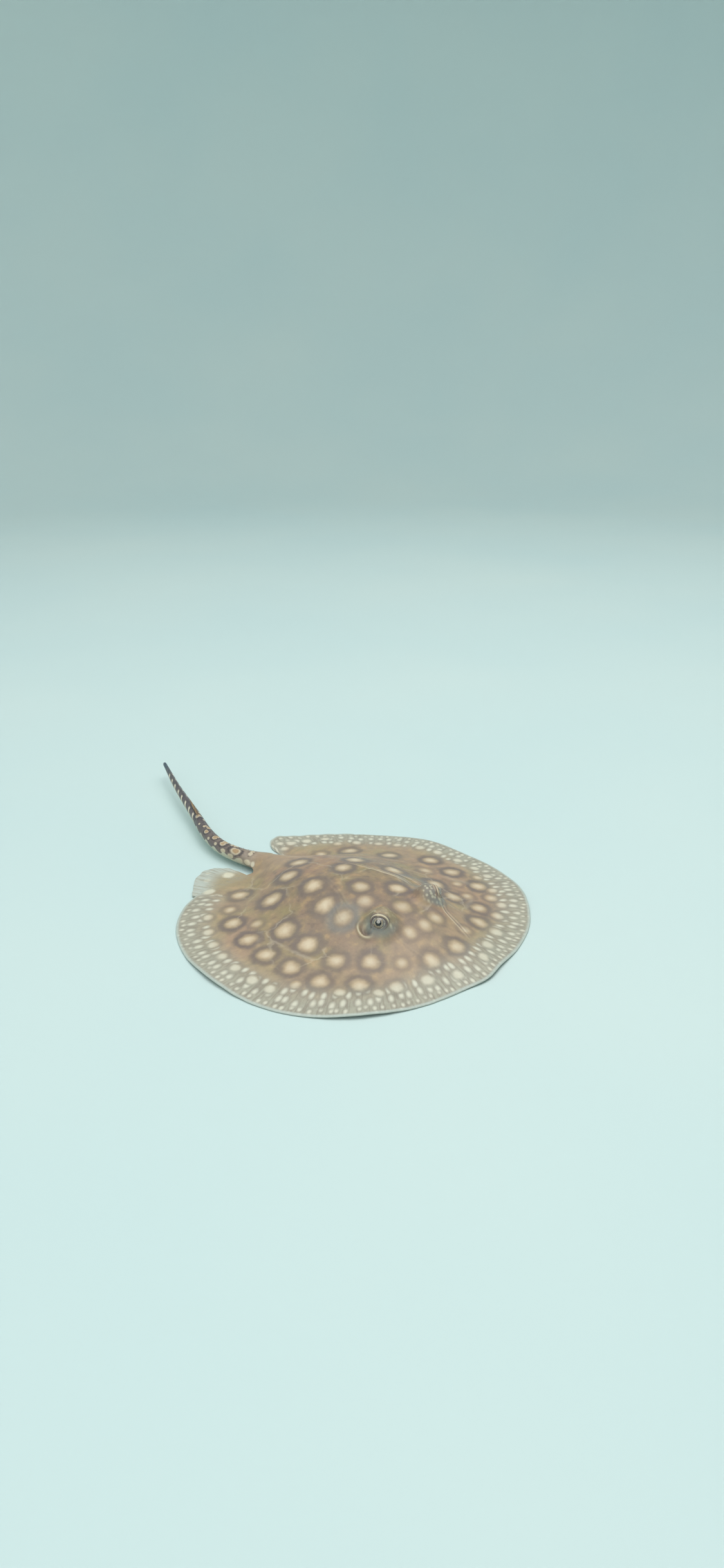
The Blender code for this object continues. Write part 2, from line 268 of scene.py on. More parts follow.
def through(stations, place, column=1):
    """The value at a place, from a smooth curve through stations of (place, value, ...)."""
    place = min(max(place, stations[0][0]), stations[-1][0])
    last = len(stations) - 1
    i = max(k for k in range(last) if place >= stations[k][0])
    (p0, v0), (p1, v1) = [(row[0], row[column]) for row in stations[i : i + 2]]
    before, after = stations[max(i - 1, 0)], stations[min(i + 2, last)]
    slope0 = (v1 - before[column]) / (p1 - before[0])
    slope1 = (after[column] - v0) / (after[0] - p0)
    span = p1 - p0
    u = (place - p0) / span
    return (
        (1 + 2 * u) * (1 - u) ** 2 * v0
        + u * (1 - u) ** 2 * span * slope0
        + u * u * (3 - 2 * u) * v1
        + u * u * (u - 1) * span * slope1
    )


def rim_radius(angle):
    """Distance from the origin to the margin, at an angle from the snout."""
    forward = math.cos(angle)
    reach = SNOUT_REACH if forward > 0 else REAR_REACH
    power = FRONT_ROUNDNESS if forward > 0 else REAR_ROUNDNESS
    sideways = abs(math.sin(angle) / HALF_WIDTH) ** power
    radius = (sideways + abs(forward / reach) ** power) ** (-1 / power)
    radius += SNOUT_TIP * bell(angle, SNOUT_TIP_SPREAD)
    radius -= TAIL_DIP * bell(math.pi - abs(angle), TAIL_DIP_SPREAD)
    uneven = noise.noise(Vector((4 * math.sin(angle), 4 * math.cos(angle), 0.7)))
    uneven += 0.5 * noise.noise(Vector((11 * math.sin(angle), 11 * math.cos(angle), 2.1)))
    away_from_ends = smooth_step(0.15, 0.5, abs(math.sin(angle)))
    return radius + MARGIN_UNEVEN * (uneven - 0.3) * away_from_ends


def outwards(x, y):
    """Share of the way from the origin to the margin, and the angle from the snout."""
    angle = math.atan2(x, -y)
    return min(math.hypot(x, y) / rim_radius(angle), 1.0), angle


def underside(share, angle, x):
    """Height of the belly: flat on the floor, with a margin in slow waves."""
    lift = WAVE_LIFT * (0.5 + 0.5 * math.sin(WAVES * angle + WAVE_SHIFT)) ** 2
    behind = smooth_step(PELVIC_FROM, PELVIC_TO, abs(angle))
    lift += (PELVIC_LIFT - lift) * behind * smooth_step(TAIL_SIDE_IN, TAIL_SIDE_OUT, abs(x))
    return lift * smooth_step(LIFT_START, LIFT_END, share)


print("disc in mm:", round(2 * HALF_WIDTH / MM, 1), "wide; eye radius", round(EYE_RADIUS / MM, 2))

# %% [markdown]
# ## Folds of the head
# Behind each eye is the spiracle, through which a resting ray draws clean water from above. It is an oval
# pit with a raised lip behind and a fleshy valve in front. Soft folds run back from it and forward from the
# eye. All are functions of place, so the sheet of the back can take them at whatever fineness it has.

# %% Heights of the back
SPIRACLE_X, SPIRACLE_Y = 25.6 * MM, -28.3 * MM
SPIRACLE_LENGTH, SPIRACLE_WIDTH = 5.7 * MM, 4.0 * MM  # half sizes
SPIRACLE_TURN = math.radians(-14)
SPIRACLE_DEPTH = 2.9 * MM
LIP_HEIGHT = 0.45 * MM
VALVE = (-3.9 * MM, 0.5 * MM, 1.5 * MM, 1.9 * MM)  # along, across, radius and height
# Folds as Y, X and strength, in mm: two behind the spiracle and one before the eye.
FOLDS = (
    ((-18, 22.0, 0.0), (-13, 22.5, 0.9), (-6, 21.0, 1.0), (1, 17.5, 1.0), (10, 14.5, 0.7), (22, 11.0, 0.35),
     (33, 8.0, 0.0)),
    ((-20, 30.5, 0.0), (-13, 30.3, 0.7), (-8, 28.7, 0.8), (-3, 26.0, 0.6), (4, 23.5, 0.0)),
    ((-66, 16.0, 0.0), (-57, 18.3, 0.45), (-47, 19.6, 0.55), (-42, 20.4, 0.5), (-39, 22.6, 0.3),
     (-36, 24.5, 0.0)),
)
FOLD_HEIGHT, FOLD_HALF_GAP = 0.6 * MM, 1.05 * MM
RIGHT_FOLD = 0.1


def spiracle_place(x, y):
    """Along and across the spiracle, and how far out, where 1 is its brink."""
    dx, dy = abs(x) - SPIRACLE_X, y - SPIRACLE_Y
    along = dy * math.cos(SPIRACLE_TURN) + dx * math.sin(SPIRACLE_TURN)
    across = dx * math.cos(SPIRACLE_TURN) - dy * math.sin(SPIRACLE_TURN)
    return along, across, math.hypot(along / SPIRACLE_LENGTH, across / SPIRACLE_WIDTH)


def spiracle_outer(along, across):
    """1 on the outer side of the spiracle, 0 on the side of the eye."""
    return smooth_step(-0.1, 0.75, (across - 0.15 * along) / math.hypot(along, across, 1e-6))


def fold_distance(fold, x, y):
    """Distance from a fold's line, and the fold's strength there. The folds are slacker on the right."""
    if not fold[0][0] < y / MM < fold[-1][0]:
        return 1.0, 0.0
    here = through(fold, y / MM)
    slope = (through(fold, y / MM + 0.5) - here) / 0.5
    strength = max(through(fold, y / MM, 2), 0.0) * (1.0 if x > 0 else RIGHT_FOLD)
    return (abs(x) - here * MM) / math.hypot(1, slope), strength


def head_relief(x, y):
    """Height that pits, lips and folds add to the back."""
    along, across, away = spiracle_place(x, y)
    height = 0.0
    if away < 2.5:
        height -= SPIRACLE_DEPTH * (1 - smooth_step(0.45, 1.12, away))
        height += LIP_HEIGHT * bell(away - 1.22, 0.17) * (0.3 + 0.7 * spiracle_outer(along, across))
        valve_away = math.hypot(along - VALVE[0], across - VALVE[1])
        height += VALVE[3] * math.exp(-((valve_away / VALVE[2]) ** 4))
    for fold in FOLDS:
        distance, strength = fold_distance(fold, x, y)
        ridges = bell(abs(distance) - FOLD_HALF_GAP, 0.6 * FOLD_HALF_GAP)
        height += strength * FOLD_HEIGHT * (ridges - 0.8 * bell(distance, 0.5 * FOLD_HALF_GAP))
    return height


def back(x, y):
    """Height of the animal's back."""
    share, angle = outwards(x, y)
    fin = EDGE_THICKNESS + FIN_RISE * (1 - share * share) ** FIN_FALL
    rise, spread = [through(TRUNK, y / MM, column) * MM for column in (1, 2)]
    trunk = rise * math.exp(-((abs(x) / spread) ** TRUNK_ROUNDNESS))
    knob = KNOB_HEIGHT * math.exp(-((math.hypot(abs(x) - KNOB_X, y - KNOB_Y) / KNOB_RADIUS) ** 3))
    lumps = noise.noise(Vector((x, y, 0.01)) * 62) + 0.4 * noise.noise(Vector((x, y, 0.02)) * 150)
    lumps *= SWELLING * (1 - share**6)
    return underside(share, angle, x) + fin + trunk + knob + lumps + head_relief(x, y)


print("height at the middle of the back, in mm:", round(back(0, 0) / MM, 1))

# %% [markdown]
# ## The sheet of the back
# A square grid bent into a circle keeps its cells four-sided and nearly even, with no pole in the middle. It
# is made a little finer towards the margin, and twice finer again around eyes, spiracles and folds.

# %% A square grid bent into the disc
RIM_ROUNDING = 0.5 * MM  # how far inside the margin both sheets stop
TOP_RINGS, UNDER_RINGS = 94, 47
CROWDING = 0.2  # more crowds the rings towards the margin


def disc_place(u, v):
    """From a square of -1 to 1 to the disc: concentric squares become rings."""
    if abs(u) > abs(v):
        radius, turn = u, math.pi / 4 * v / u
    else:
        radius, turn = v, math.pi / 2 - (math.pi / 4 * u / v if v else 0.0)
    angle = math.atan2(radius * math.cos(turn), -radius * math.sin(turn))
    share = abs(radius) * (1 + CROWDING - CROWDING * abs(radius))
    reach = (rim_radius(angle) - RIM_ROUNDING) * share
    return Vector((reach * math.sin(angle), -reach * math.cos(angle), 0))


def disc_sheet(rings, zones):
    """A flat sheet in the disc's outline, made finer once for each zone."""
    sheet = bmesh.new()
    bmesh.ops.create_grid(sheet, x_segments=2 * rings, y_segments=2 * rings, size=1)
    for vert in sheet.verts:
        vert.co = disc_place(vert.co.x, vert.co.y)
    for zone in zones:
        near = [edge for edge in sheet.edges if all(zone(v.co.x, v.co.y) for v in edge.verts)]
        bmesh.ops.subdivide_edges(sheet, edges=near, cuts=1, use_grid_fill=True)
    return sheet


def head_zone(eye_reach, spiracle_reach, fold_reach):
    """A test for places near an eye, a spiracle or a fold."""

    def near(x, y):
        if math.hypot(abs(x) - EYE_CENTRE.x, y - EYE_CENTRE.y) < eye_reach * MM:
            return True
        if math.hypot(abs(x) - SPIRACLE_X, y - SPIRACLE_Y) < spiracle_reach * MM:
            return True
        distances = [fold_distance(fold, x, y) for fold in FOLDS]
        return any(s > 0.02 and abs(d) < fold_reach * MM for d, s in distances)

    return near


skin = disc_sheet(TOP_RINGS, (head_zone(13, 11, 6), head_zone(8.8, 8.2, 3)))
for vert in skin.verts:
    vert.co.z = back(vert.co.x, vert.co.y)
print("back:", len(skin.faces), "faces")

# %% [markdown]
# ## Eyelids
# A stingray's eye stands in a ring of thick skin. The lid is made by moving the sheet to or from the middle
# of the eyeball: inside the opening it goes just behind the eyeball's surface, and outside it is held off in
# a rolled rim with a shallow groove round it. So the skin stays one closed sheet.

# %% Roll the lids
OPENING = math.radians(52)  # half the angle of the eye's opening
EYE_AXIS = Vector((0.78, -0.42, 0.46)).normalized()  # of the left eye
UPPER_DROP, LOWER_RISE = math.radians(18), math.radians(11)  # the opening is wider than high
SOCKET = 0.7 * MM  # how far the skin lies behind the eyeball's surface
LID = 0.62 * MM
LID_ROLL, LID_GROOVE = math.radians(8), math.radians(30)
LID_REACH = math.radians(62)


def eye_axes(side):
    """Middle of an eye, the way it looks, and up across that way."""
    centre, axis = [Vector((side * way.x, way.y, way.z)) for way in (EYE_CENTRE, EYE_AXIS)]
    return centre, axis, (Vector((0, 0, 1)) - axis * axis.z).normalized()


EYES = {side: eye_axes(side) for side in (-1, 1)}


def about_eye(place):
    """From an eye to a place: the way there, the angle past the opening's edge, and how much above."""
    centre, axis, lift = EYES[1 if place.x > 0 else -1]
    away = place - centre
    upper = (away - axis * away.dot(axis)).normalized().dot(lift)
    opening = OPENING - UPPER_DROP * max(upper, 0) ** 1.5 - LOWER_RISE * max(-upper, 0) ** 1.5
    return away, away.angle(axis) - opening, upper


def lid_height(past, upper):
    """How far the lid stands off the eyeball, at an angle past the opening's edge."""
    if past < 0:
        return -SOCKET * smooth_step(0, -math.radians(5), past)
    fullness = 0.75 + 0.35 * smooth_step(-0.2, 0.7, upper)
    rim = 0.12 * MM + fullness * LID * math.sin(min(past / LID_ROLL, 1) * math.pi / 2)
    rim -= 0.3 * MM * smooth_step(LID_ROLL, 2 * LID_ROLL, past)
    return rim + 0.4 * MM * fullness * bell(past - LID_GROOVE, 0.45 * LID_GROOVE)


for vert in skin.verts:
    away, past, upper = about_eye(vert.co)
    if away.length > 1.6 * EYE_RADIUS:
        continue
    centre = vert.co - away
    wanted = EYE_RADIUS + lid_height(past, upper)
    blend = 1 - smooth_step(1.25 * EYE_RADIUS, 1.6 * EYE_RADIUS, away.length)
    length = away.length
    if past < 0:
        length += (wanted - length) * blend
    else:
        length = max(length, wanted * (1 - smooth_step(0.6, 1, past / LID_REACH)))
    vert.co = centre + away.normalized() * length
print("lids stand off the eyeball by up to", round(lid_height(LID_ROLL, 1) / MM, 2), "mm")

# %% [markdown]
# ## The underside
# Underneath are the mouth behind its nasal curtain, the two nostrils, five pairs of gill slits and the vent.
# They are grooves in a sheet that otherwise lies flat on the floor, so each is a line and a depth. The sheet
# has half as many rings as the back, and is made finer only beside those lines.

# %% Lines of the underside
MOUTH_Y, MOUTH_HALF, CURTAIN = -50 * MM, 6.5 * MM, 3.6 * MM  # the nasal curtain's edge is before the mouth
NOSTRIL_X, NOSTRIL_Y = 5.6 * MM, -57.5 * MM
NOSTRIL_HALF, NOSTRIL_TURN = 0.9 * MM, math.radians(50)
GILLS = 5
GILL_FRONT, GILL_STEP = Vector((24.0 * MM, -38 * MM)), Vector((-2.0 * MM, 7.2 * MM))
GILL_HALF, GILL_TURN = 2.3 * MM, math.radians(12)
VENT_Y, VENT_HALF = 64 * MM, 2.6 * MM


def under_lines():
    """Each groove as its middle, half length, direction, depth and half width."""
    lines = [
        (Vector((0, MOUTH_Y)), MOUTH_HALF, 0.0, 1.5 * MM, 0.7 * MM),
        (Vector((0, MOUTH_Y - CURTAIN)), 0.8 * MOUTH_HALF, 0.0, 0.45 * MM, 0.6 * MM),
        (Vector((0, VENT_Y)), VENT_HALF, math.pi / 2, 0.9 * MM, 0.6 * MM),
    ]
    for side in (-1, 1):
        middle = Vector((side * NOSTRIL_X, NOSTRIL_Y))
        lines.append((middle, NOSTRIL_HALF, side * NOSTRIL_TURN, 1.3 * MM, 0.8 * MM))
        for i in range(GILLS):
            middle = GILL_FRONT + GILL_STEP * i
            middle = Vector((side * middle.x, middle.y))
            lines.append((middle, GILL_HALF, -side * GILL_TURN, 1.1 * MM, 0.5 * MM))
    return lines


UNDER_LINES = under_lines()


def line_distance(line, x, y):
    """Distance from a groove's line."""
    middle, half, turn = line[:3]
    dx, dy = x - middle.x, y - middle.y
    along = dx * math.cos(turn) + dy * math.sin(turn)
    across = dy * math.cos(turn) - dx * math.sin(turn)
    return math.hypot(max(abs(along) - half, 0), across)


def groove(x, y):
    return max(line[3] * bell(line_distance(line, x, y), line[4]) for line in UNDER_LINES)


def points_of(parts):
    return [part for part in parts if isinstance(part, bmesh.types.BMVert)]


def groove_zone(reach):
    def near(x, y):
        return any(line_distance(line, x, y) < reach * MM for line in UNDER_LINES)

    return near


under = disc_sheet(UNDER_RINGS, (groove_zone(4), groove_zone(2.4)))
rim_edges = [edge for edge in under.edges if edge.is_boundary]
for vert in points_of(bmesh.ops.subdivide_edges(under, edges=rim_edges, cuts=1)["geom_inner"]):
    angle = math.atan2(vert.co.x, -vert.co.y)
    vert.co.xy = Vector((math.sin(angle), -math.cos(angle))) * (rim_radius(angle) - RIM_ROUNDING)
for vert in under.verts:
    share, angle = outwards(vert.co.x, vert.co.y)
    vert.co.z = underside(share, angle, vert.co.x) + groove(vert.co.x, vert.co.y)
print("underside:", len(under.faces), "faces,", len(UNDER_LINES), "grooves")

# %% [markdown]
# ## The margin
# A ray's margin is a thin soft edge, not a knife. The two sheets stop a little inside the outline with the
# same number of points, a bridge joins them, and its middle rows are moved out to a half round.

# %% Join the sheets at a rounded margin
MARGIN_ROWS = 3


def absorb(body, other):
    """Adds a second bmesh to a first and frees it."""
    mesh = bpy.data.meshes.new("absorbed")
    other.to_mesh(mesh)
    other.free()
    body.from_mesh(mesh)
    bpy.data.meshes.remove(mesh)


absorb(skin, under)
loops = [edge for edge in skin.edges if edge.is_boundary]
points_round = len(loops) // 2
wall = bmesh.ops.bridge_loops(skin, edges=loops)["faces"]
upright = {edge for face in wall for edge in face.edges} - set(loops)
made = bmesh.ops.subdivide_edges(skin, edges=list(upright), cuts=MARGIN_ROWS, use_grid_fill=True)
for vert in points_of(made["geom_inner"]):
    angle = math.atan2(vert.co.x, -vert.co.y)
    reach = rim_radius(angle) - RIM_ROUNDING
    x, y = reach * math.sin(angle), -reach * math.cos(angle)
    share, _ = outwards(x, y)
    base = underside(share, angle, x)
    up = 2 * (vert.co.z - base) / (back(x, y) - base) - 1
    reach += RIM_ROUNDING * math.sqrt(max(1 - up * up, 0))
    vert.co.xy = (reach * math.sin(angle), -reach * math.cos(angle))
bmesh.ops.recalc_face_normals(skin, faces=skin.faces)
print("margin:", points_round, "points round;", sum(not e.is_manifold for e in skin.edges), "open edges")

# %% [markdown]
# ## Pelvic fins
# The two pelvic fins spread flat on the floor behind the disc and run in under its margin. Each is a thin
# slab fanned between a hidden base and a free margin, with bevelled edges. A Boolean union makes them one
# skin with the disc.

# %% Spread the pelvic fins
# The free margin from the inner corner outwards: share, X and Y in mm. The left fin is spread wider.
PELVIC_MARGIN = {
    1: ((0, 18.2, 93), (0.13, 20.5, 103), (0.27, 26.5, 110.5), (0.4, 34.5, 112.5),
        (0.55, 42.5, 105), (0.7, 51.5, 97.5), (0.86, 62, 87.7), (1, 71, 78.3)),
    -1: ((0, 15.8, 93), (0.15, 17.5, 101.5), (0.35, 27.5, 108.5), (0.55, 37.5, 105.5),
         (0.76, 45, 99), (1, 54, 88.5)),
}
PELVIC_BASE_Y = 58 * MM
PELVIC_BASE_X = (14 * MM, 40 * MM)
PELVIC_THICK, PELVIC_THIN = 1.6 * MM, 0.9 * MM
PELVIC_ACROSS, PELVIC_ALONG = 44, 40


def pelvic_fin(side):
    """One fin as a closed slab with rounded edges."""
    margin = PELVIC_MARGIN[side]
    rear = max(row[2] for row in margin) * MM
    fin = bmesh.new()
    bmesh.ops.create_grid(fin, x_segments=PELVIC_ACROSS, y_segments=PELVIC_ALONG, size=0.5)
    upper = set(points_of(bmesh.ops.extrude_face_region(fin, geom=fin.faces[:])["geom"]))
    for vert in fin.verts:
        u, v = vert.co.x + 0.5, vert.co.y + 0.5
        inner = Vector((PELVIC_BASE_X[0] + u * (PELVIC_BASE_X[1] - PELVIC_BASE_X[0]), PELVIC_BASE_Y))
        outer = Vector((through(margin, u), through(margin, u, 2))) * MM
        outer *= 1 + 0.006 * noise.noise(Vector((u * 9, side, 0)))
        x, y = inner.lerp(outer, v)
        back_share = smooth_step(high["trunk"].y, rear, y)
        thick = PELVIC_THICK + (PELVIC_THIN - PELVIC_THICK) * back_share
        front_lift = 0.7 * MM * (1 - smooth_step(0, 0.4, v))
        ripple = 0.16 * MM * math.sin(u * 46 + 2 * v) * smooth_step(0.5, 0.9, v)
        vert.co = (side * x, y, front_lift + (thick + ripple if vert in upper else 0))
    bmesh.ops.recalc_face_normals(fin, faces=fin.faces)
    sharp = [e for e in fin.edges if e.calc_face_angle(0) > math.radians(50)]
    bmesh.ops.bevel(
        fin, geom=sharp, offset=0.4 * MM, offset_type="OFFSET", affect="EDGES",
        segments=3, profile=0.5, material=-1, clamp_overlap=True,
    )
    return fin


disc = as_object("disc", skin)
helpers = [disc]
for side in (-1, 1):
    helpers.append(as_object("pelvic_helper", pelvic_fin(side)))
    union = disc.modifiers.new("pelvic_fin", "BOOLEAN")
    union.operation = "UNION"
    union.solver = "MANIFOLD"
    union.object = helpers[-1]
bpy.context.view_layer.update()
whole = disc.evaluated_get(bpy.context.evaluated_depsgraph_get())
skin = bmesh.new()
skin.from_mesh(whole.to_mesh())
for helper in helpers:
    bpy.data.objects.remove(helper)
bmesh.ops.remove_doubles(skin, verts=skin.verts, dist=0.01 * MM)
print("disc with fins:", len(skin.faces), "faces;", sum(not e.is_manifold for e in skin.edges), "open")

# %% [markdown]
# ## The tail
# The tail is a tube of rings drawn along the middle line of its solids. Its first ring is bridged to an
# opening in the rear wall of the disc, and the joint is smoothed until no edge shows. Low keels run along
# the top and bottom of its rear half.

# %% Draw the tail and join it on
# Share of the length, then X, Y and Z of the middle, in mm.
TAIL_PATH = (
    (0.00, 0.0, 81.8, 5.7), (0.09, -6.0, 96.0, 6.1), (0.19, -8.7, 115.0, 6.8), (0.31, -5.2, 135.0, 8.0),
    (0.49, 6.8, 165.0, 9.0), (0.75, 24.3, 208.0, 10.1), (1.00, 43.0, 249.0, 11.2),
)
TAIL_LENGTH = 178 * MM
TAIL_HALF_WIDTH, TAIL_HALF_HEIGHT = (5.2 * MM, 1.2 * MM), (4.9 * MM, 1.4 * MM)
TAIL_TAPER = 0.95
FLARE_WIDTH, FLARE_HEIGHT, FLARE_SHARE = 6.6 * MM, 0.3 * MM, 0.045
ROOT_BLEND = 0.10
KEEL, KEEL_START, KEEL_FULL, KEEL_FADE, KEEL_NARROWNESS = 1.0 * MM, 0.5, 0.72, 0.9, 24
# A low swelling of skin over the sting's root.
SHEATH_HEIGHT, SHEATH_SHARE, SHEATH_SPREAD, SHEATH_NARROWNESS = 1.5 * MM, 0.424, 0.017, 7
TIP_ROUND = 0.985
TAIL_SIDES, TAIL_RINGS = 40, 165
TAIL_START = 0.022  # share at the first ring
OPENING_HALF = 11.6 * MM
COLUMN_BACK = high["trunk"].y


def tail_centre(share):
    return Vector([through(TAIL_PATH, share, column) * MM for column in (1, 2, 3)])


def tail_frame(share):
    """The middle of the tail, its direction, and the side and up directions across it."""
    forward = tail_centre(min(share + 0.01, 1.0)) - tail_centre(max(share - 0.01, 0.0))
    along = Vector((0, 1, 0)).lerp(forward.normalized(), smooth_step(0, ROOT_BLEND, share)).normalized()
    side = along.cross(Vector((0, 0, 1))).normalized()
    return tail_centre(share), along, side, side.cross(along)


def tail_halves(share):
    """Half width and half height of the tail."""
    flare = math.exp(-share / FLARE_SHARE)
    tip = max(share - TIP_ROUND, 0.0) / (1 - TIP_ROUND)
    end = math.sqrt(max(1 - tip * tip, 0.01))
    left = (1 - share) ** TAIL_TAPER
    width = TAIL_HALF_WIDTH[1] + left * (TAIL_HALF_WIDTH[0] - TAIL_HALF_WIDTH[1])
    height = TAIL_HALF_HEIGHT[1] + left * (TAIL_HALF_HEIGHT[0] - TAIL_HALF_HEIGHT[1])
    return (width + FLARE_WIDTH * flare) * end, (height + FLARE_HEIGHT * flare) * end


def tail_point(share, angle):
    """A point on the tail's skin. Angle 0 is the animal's left and a quarter turn is the top."""
    centre, _, side, up = tail_frame(share)
    half_width, half_height = tail_halves(share)
    keel = KEEL * smooth_step(KEEL_START, KEEL_FULL, share) * (1 - smooth_step(KEEL_FADE, 1, share))
    keel *= abs(math.sin(angle)) ** KEEL_NARROWNESS
    point = centre + side * (half_width * math.cos(angle))
    sheath = SHEATH_HEIGHT * bell(share - SHEATH_SHARE, SHEATH_SPREAD)
    sheath *= max(math.sin(angle), 0.0) ** SHEATH_NARROWNESS
    point += up * (math.sin(angle) * (half_height + keel) + sheath)
    if share < ROOT_BLEND:
        cap = back(point.x, COLUMN_BACK)
        point.z -= (1 - smooth_step(0, ROOT_BLEND, share)) * max(point.z - cap, 0.0)
    return point


def drawn_rings(sides, rings):
    """Draws one capped ring out through all the rings of points, each listed in order around."""
    body = bmesh.new()
    around = body.verts.layers.int.new("around")
    step = body.verts.layers.int.new("step")
    bmesh.ops.create_circle(body, cap_ends=True, segments=sides, radius=1)
    body.verts.ensure_lookup_table()
    for k, vert in enumerate(body.verts):
        vert[around] = k
        vert.co = rings[0][k]
    body.faces.ensure_lookup_table()
    cap = body.faces[0]
    for i, ring in enumerate(rings[1:], 1):
        made = bmesh.ops.extrude_face_region(body, geom=[cap, *cap.edges])["geom"]
        cap = next(part for part in made if isinstance(part, bmesh.types.BMFace))
        for vert in cap.verts:
            vert.co = ring[vert[around]]
            vert[step] = i
    return body, around, step


shares = [TAIL_START + (1 - TAIL_START) * i / TAIL_RINGS for i in range(TAIL_RINGS)]
shares += [TIP_ROUND + (1 - TIP_ROUND) * part for part in (0.75, 0.9, 0.97, 1.0)]
shares.sort()
rings = [[tail_point(s, 2 * math.pi * k / TAIL_SIDES) for k in range(TAIL_SIDES)] for s in shares]
tail, around, step = drawn_rings(TAIL_SIDES, rings)
caps = [face for face in tail.faces if len(face.verts) == TAIL_SIDES]
root_cap = min(caps, key=lambda face: face.calc_center_median().y)
bmesh.ops.delete(tail, geom=[root_cap], context="FACES_ONLY")
along_layer = tail.verts.layers.float.new("tail_along")
around_layer = tail.verts.layers.float.new("tail_around")
for vert in tail.verts:
    vert[along_layer] = shares[vert[step]]
    vert[around_layer] = (2 * vert[around] / TAIL_SIDES + 0.5) % 2 - 1


def on_rear_wall(vert):
    x, y = vert.co.xy
    return y > 0.9 * COLUMN_BACK and abs(x) < OPENING_HALF and math.hypot(x, y) > (
        rim_radius(math.atan2(x, -y)) - 1.02 * RIM_ROUNDING
    )


opening = [face for face in skin.faces if all(on_rear_wall(v) for v in face.verts)]
bmesh.ops.delete(skin, geom=opening, context="FACES")
skin.verts.layers.float.new("tail_along")
skin.verts.layers.float.new("tail_around")
absorb(skin, tail)
loops = [edge for edge in skin.edges if edge.is_boundary]
joint = bmesh.ops.bridge_loops(skin, edges=loops)["faces"]
lengthwise = {edge for face in joint for edge in face.edges} - set(loops)
bmesh.ops.subdivide_edges(skin, edges=list(lengthwise), cuts=3, use_grid_fill=True)
print("tail:", len(rings), "rings; opening of", len(opening), "faces bridged with", len(joint))

# %% Smooth the joints and close the skin
ROOT_FROM, ROOT_TO = COLUMN_BACK - 7 * MM, COLUMN_BACK + 12 * MM


def soften(region, times):
    """Smooths part of the skin without sinking it into the floor."""
    for _ in range(times):
        bmesh.ops.smooth_vert(
            skin, verts=region, factor=0.5, use_axis_x=True, use_axis_y=True, use_axis_z=True
        )
    for vert in region:
        vert.co.z = max(vert.co.z, 0.0)


bmesh.ops.recalc_face_normals(skin, faces=skin.faces)
soften([v for v in skin.verts if ROOT_FROM < v.co.y < ROOT_TO and abs(v.co.x) < 19 * MM], 5)
bmesh.ops.dissolve_degenerate(skin, edges=skin.edges, dist=0.005 * MM)
bmesh.ops.recalc_face_normals(skin, faces=skin.faces)
open_edges = [edge for edge in skin.edges if not edge.is_manifold]
triangles = sum(len(face.verts) - 2 for face in skin.faces)
print("skin:", triangles, "triangles,", len(open_edges), "open edges")

# %% [markdown]
# ## Markings as attributes
# The young of this ray wear pale spots in dark rings, ocelli, in rough rows that follow the disc, smaller
# outwards. A spot is a distance to a centre divided by its size. Such numbers are stored on the skin's
# points, and the material turns them to colour with some noise, so that spots look grown, not stamped.

# %% Places of the spots
# Radius and size in mm, strength of the dark ring, paleness, and angles from the snout, positive on the left.
# Size is the radius of the pale middle. Nature's small scatter is part of the angles.
SPOT_ROWS = (
    (7, 4.5, 0.9, 0.8, (-57,)),
    (20, 4.6, 1.0, 0.95, (29, 170)),
    (20, 4.3, 0.6, 0.7, (-42,)),
    (28, 5.1, 1.0, 1.0, (-134, -94, 94)),
    (31, 4.9, 1.0, 1.0, (143,)),
    (31, 4.7, 0.6, 0.75, (-66, -2)),
    (47, 3.8, 0.45, 0.75, (-14, -1, 11)),
    (47, 4.7, 1.0, 0.95, (-158, 70)),
    (52, 5.1, 1.0, 1.0, (-135, -100, -80)),
    (52, 4.5, 0.9, 0.9, (-178, 53)),
    (56, 3.9, 0.3, 0.8, (92,)),
    (58, 4.4, 0.9, 0.9, (-60, -42)),
    (62, 3.1, 0.4, 0.7, (-117, 71, 57, -27, 18)),
    (66, 4.4, 0.9, 0.9, (120, 45, 31, -13, 3)),
    (70, 4.5, 1.0, 0.95, (-108, -93, -78, 84)),
    (74, 4.5, 1.0, 0.95, (-149, -124, 100, 141, 67, -63, -47)),
    (76, 3.4, 0.6, 0.85, (155, 56, -136, -33, -20, 16, 28, 41)),
    (80, 2.7, 0.4, 0.85, (-8, 7, -40, -54, -71, 50, 62, 75)),
    (88, 2.8, 0.35, 0.85, (-132, -122, -113, -104, -95, -86, -78, 75, 83, 92, 102, 110, 120, 128, 137, 145)),
)
# On the pelvic fins: X, Y and size in mm, and paleness.
PELVIC_SPOTS = (
    (-23, 93, 3.9, 1.0), (-45.5, 83, 3.6, 0.9), (-36, 97, 2.2, 0.35), (-30, 104, 2.0, 0.3),
    (25, 95, 2.8, 0.9), (33, 98, 3.2, 0.9), (42, 93, 3.0, 0.9), (52, 86, 2.8, 0.9), (28, 103, 2.4, 0.9),
)
# On the tail: mm along it, share of half a turn from the top line, size in mm and ring strength. The left
# side has the same ones a little further back.
TAIL_SPOTS = (
    (6, 0.34, 1.7, 0.2), (11, 0.42, 2.2, 0.2), (12, 0.06, 1.3, 0.3), (17, 0.5, 1.9, 0.2),
    (22, 0.17, 2.7, 1), (24, 0.47, 1.7, 0.2), (30, 0.38, 1.6, 0.2), (33, 0.09, 1.9, 0.9),
    (38, 0.29, 1.2, 0.2), (43, 0.05, 1.7, 0.9), (47, 0.3, 1.1, 0.2), (54, 0.12, 1.7, 0.9),
    (61, 0.03, 1.2, 0.6), (67, 0.2, 1, 0.2), (76, 0.06, 1.9, 1),
)
LEFT_SHIFT = 4.0  # mm
TAIL_SPOT_LENGTH = 1.3  # how much longer than wide


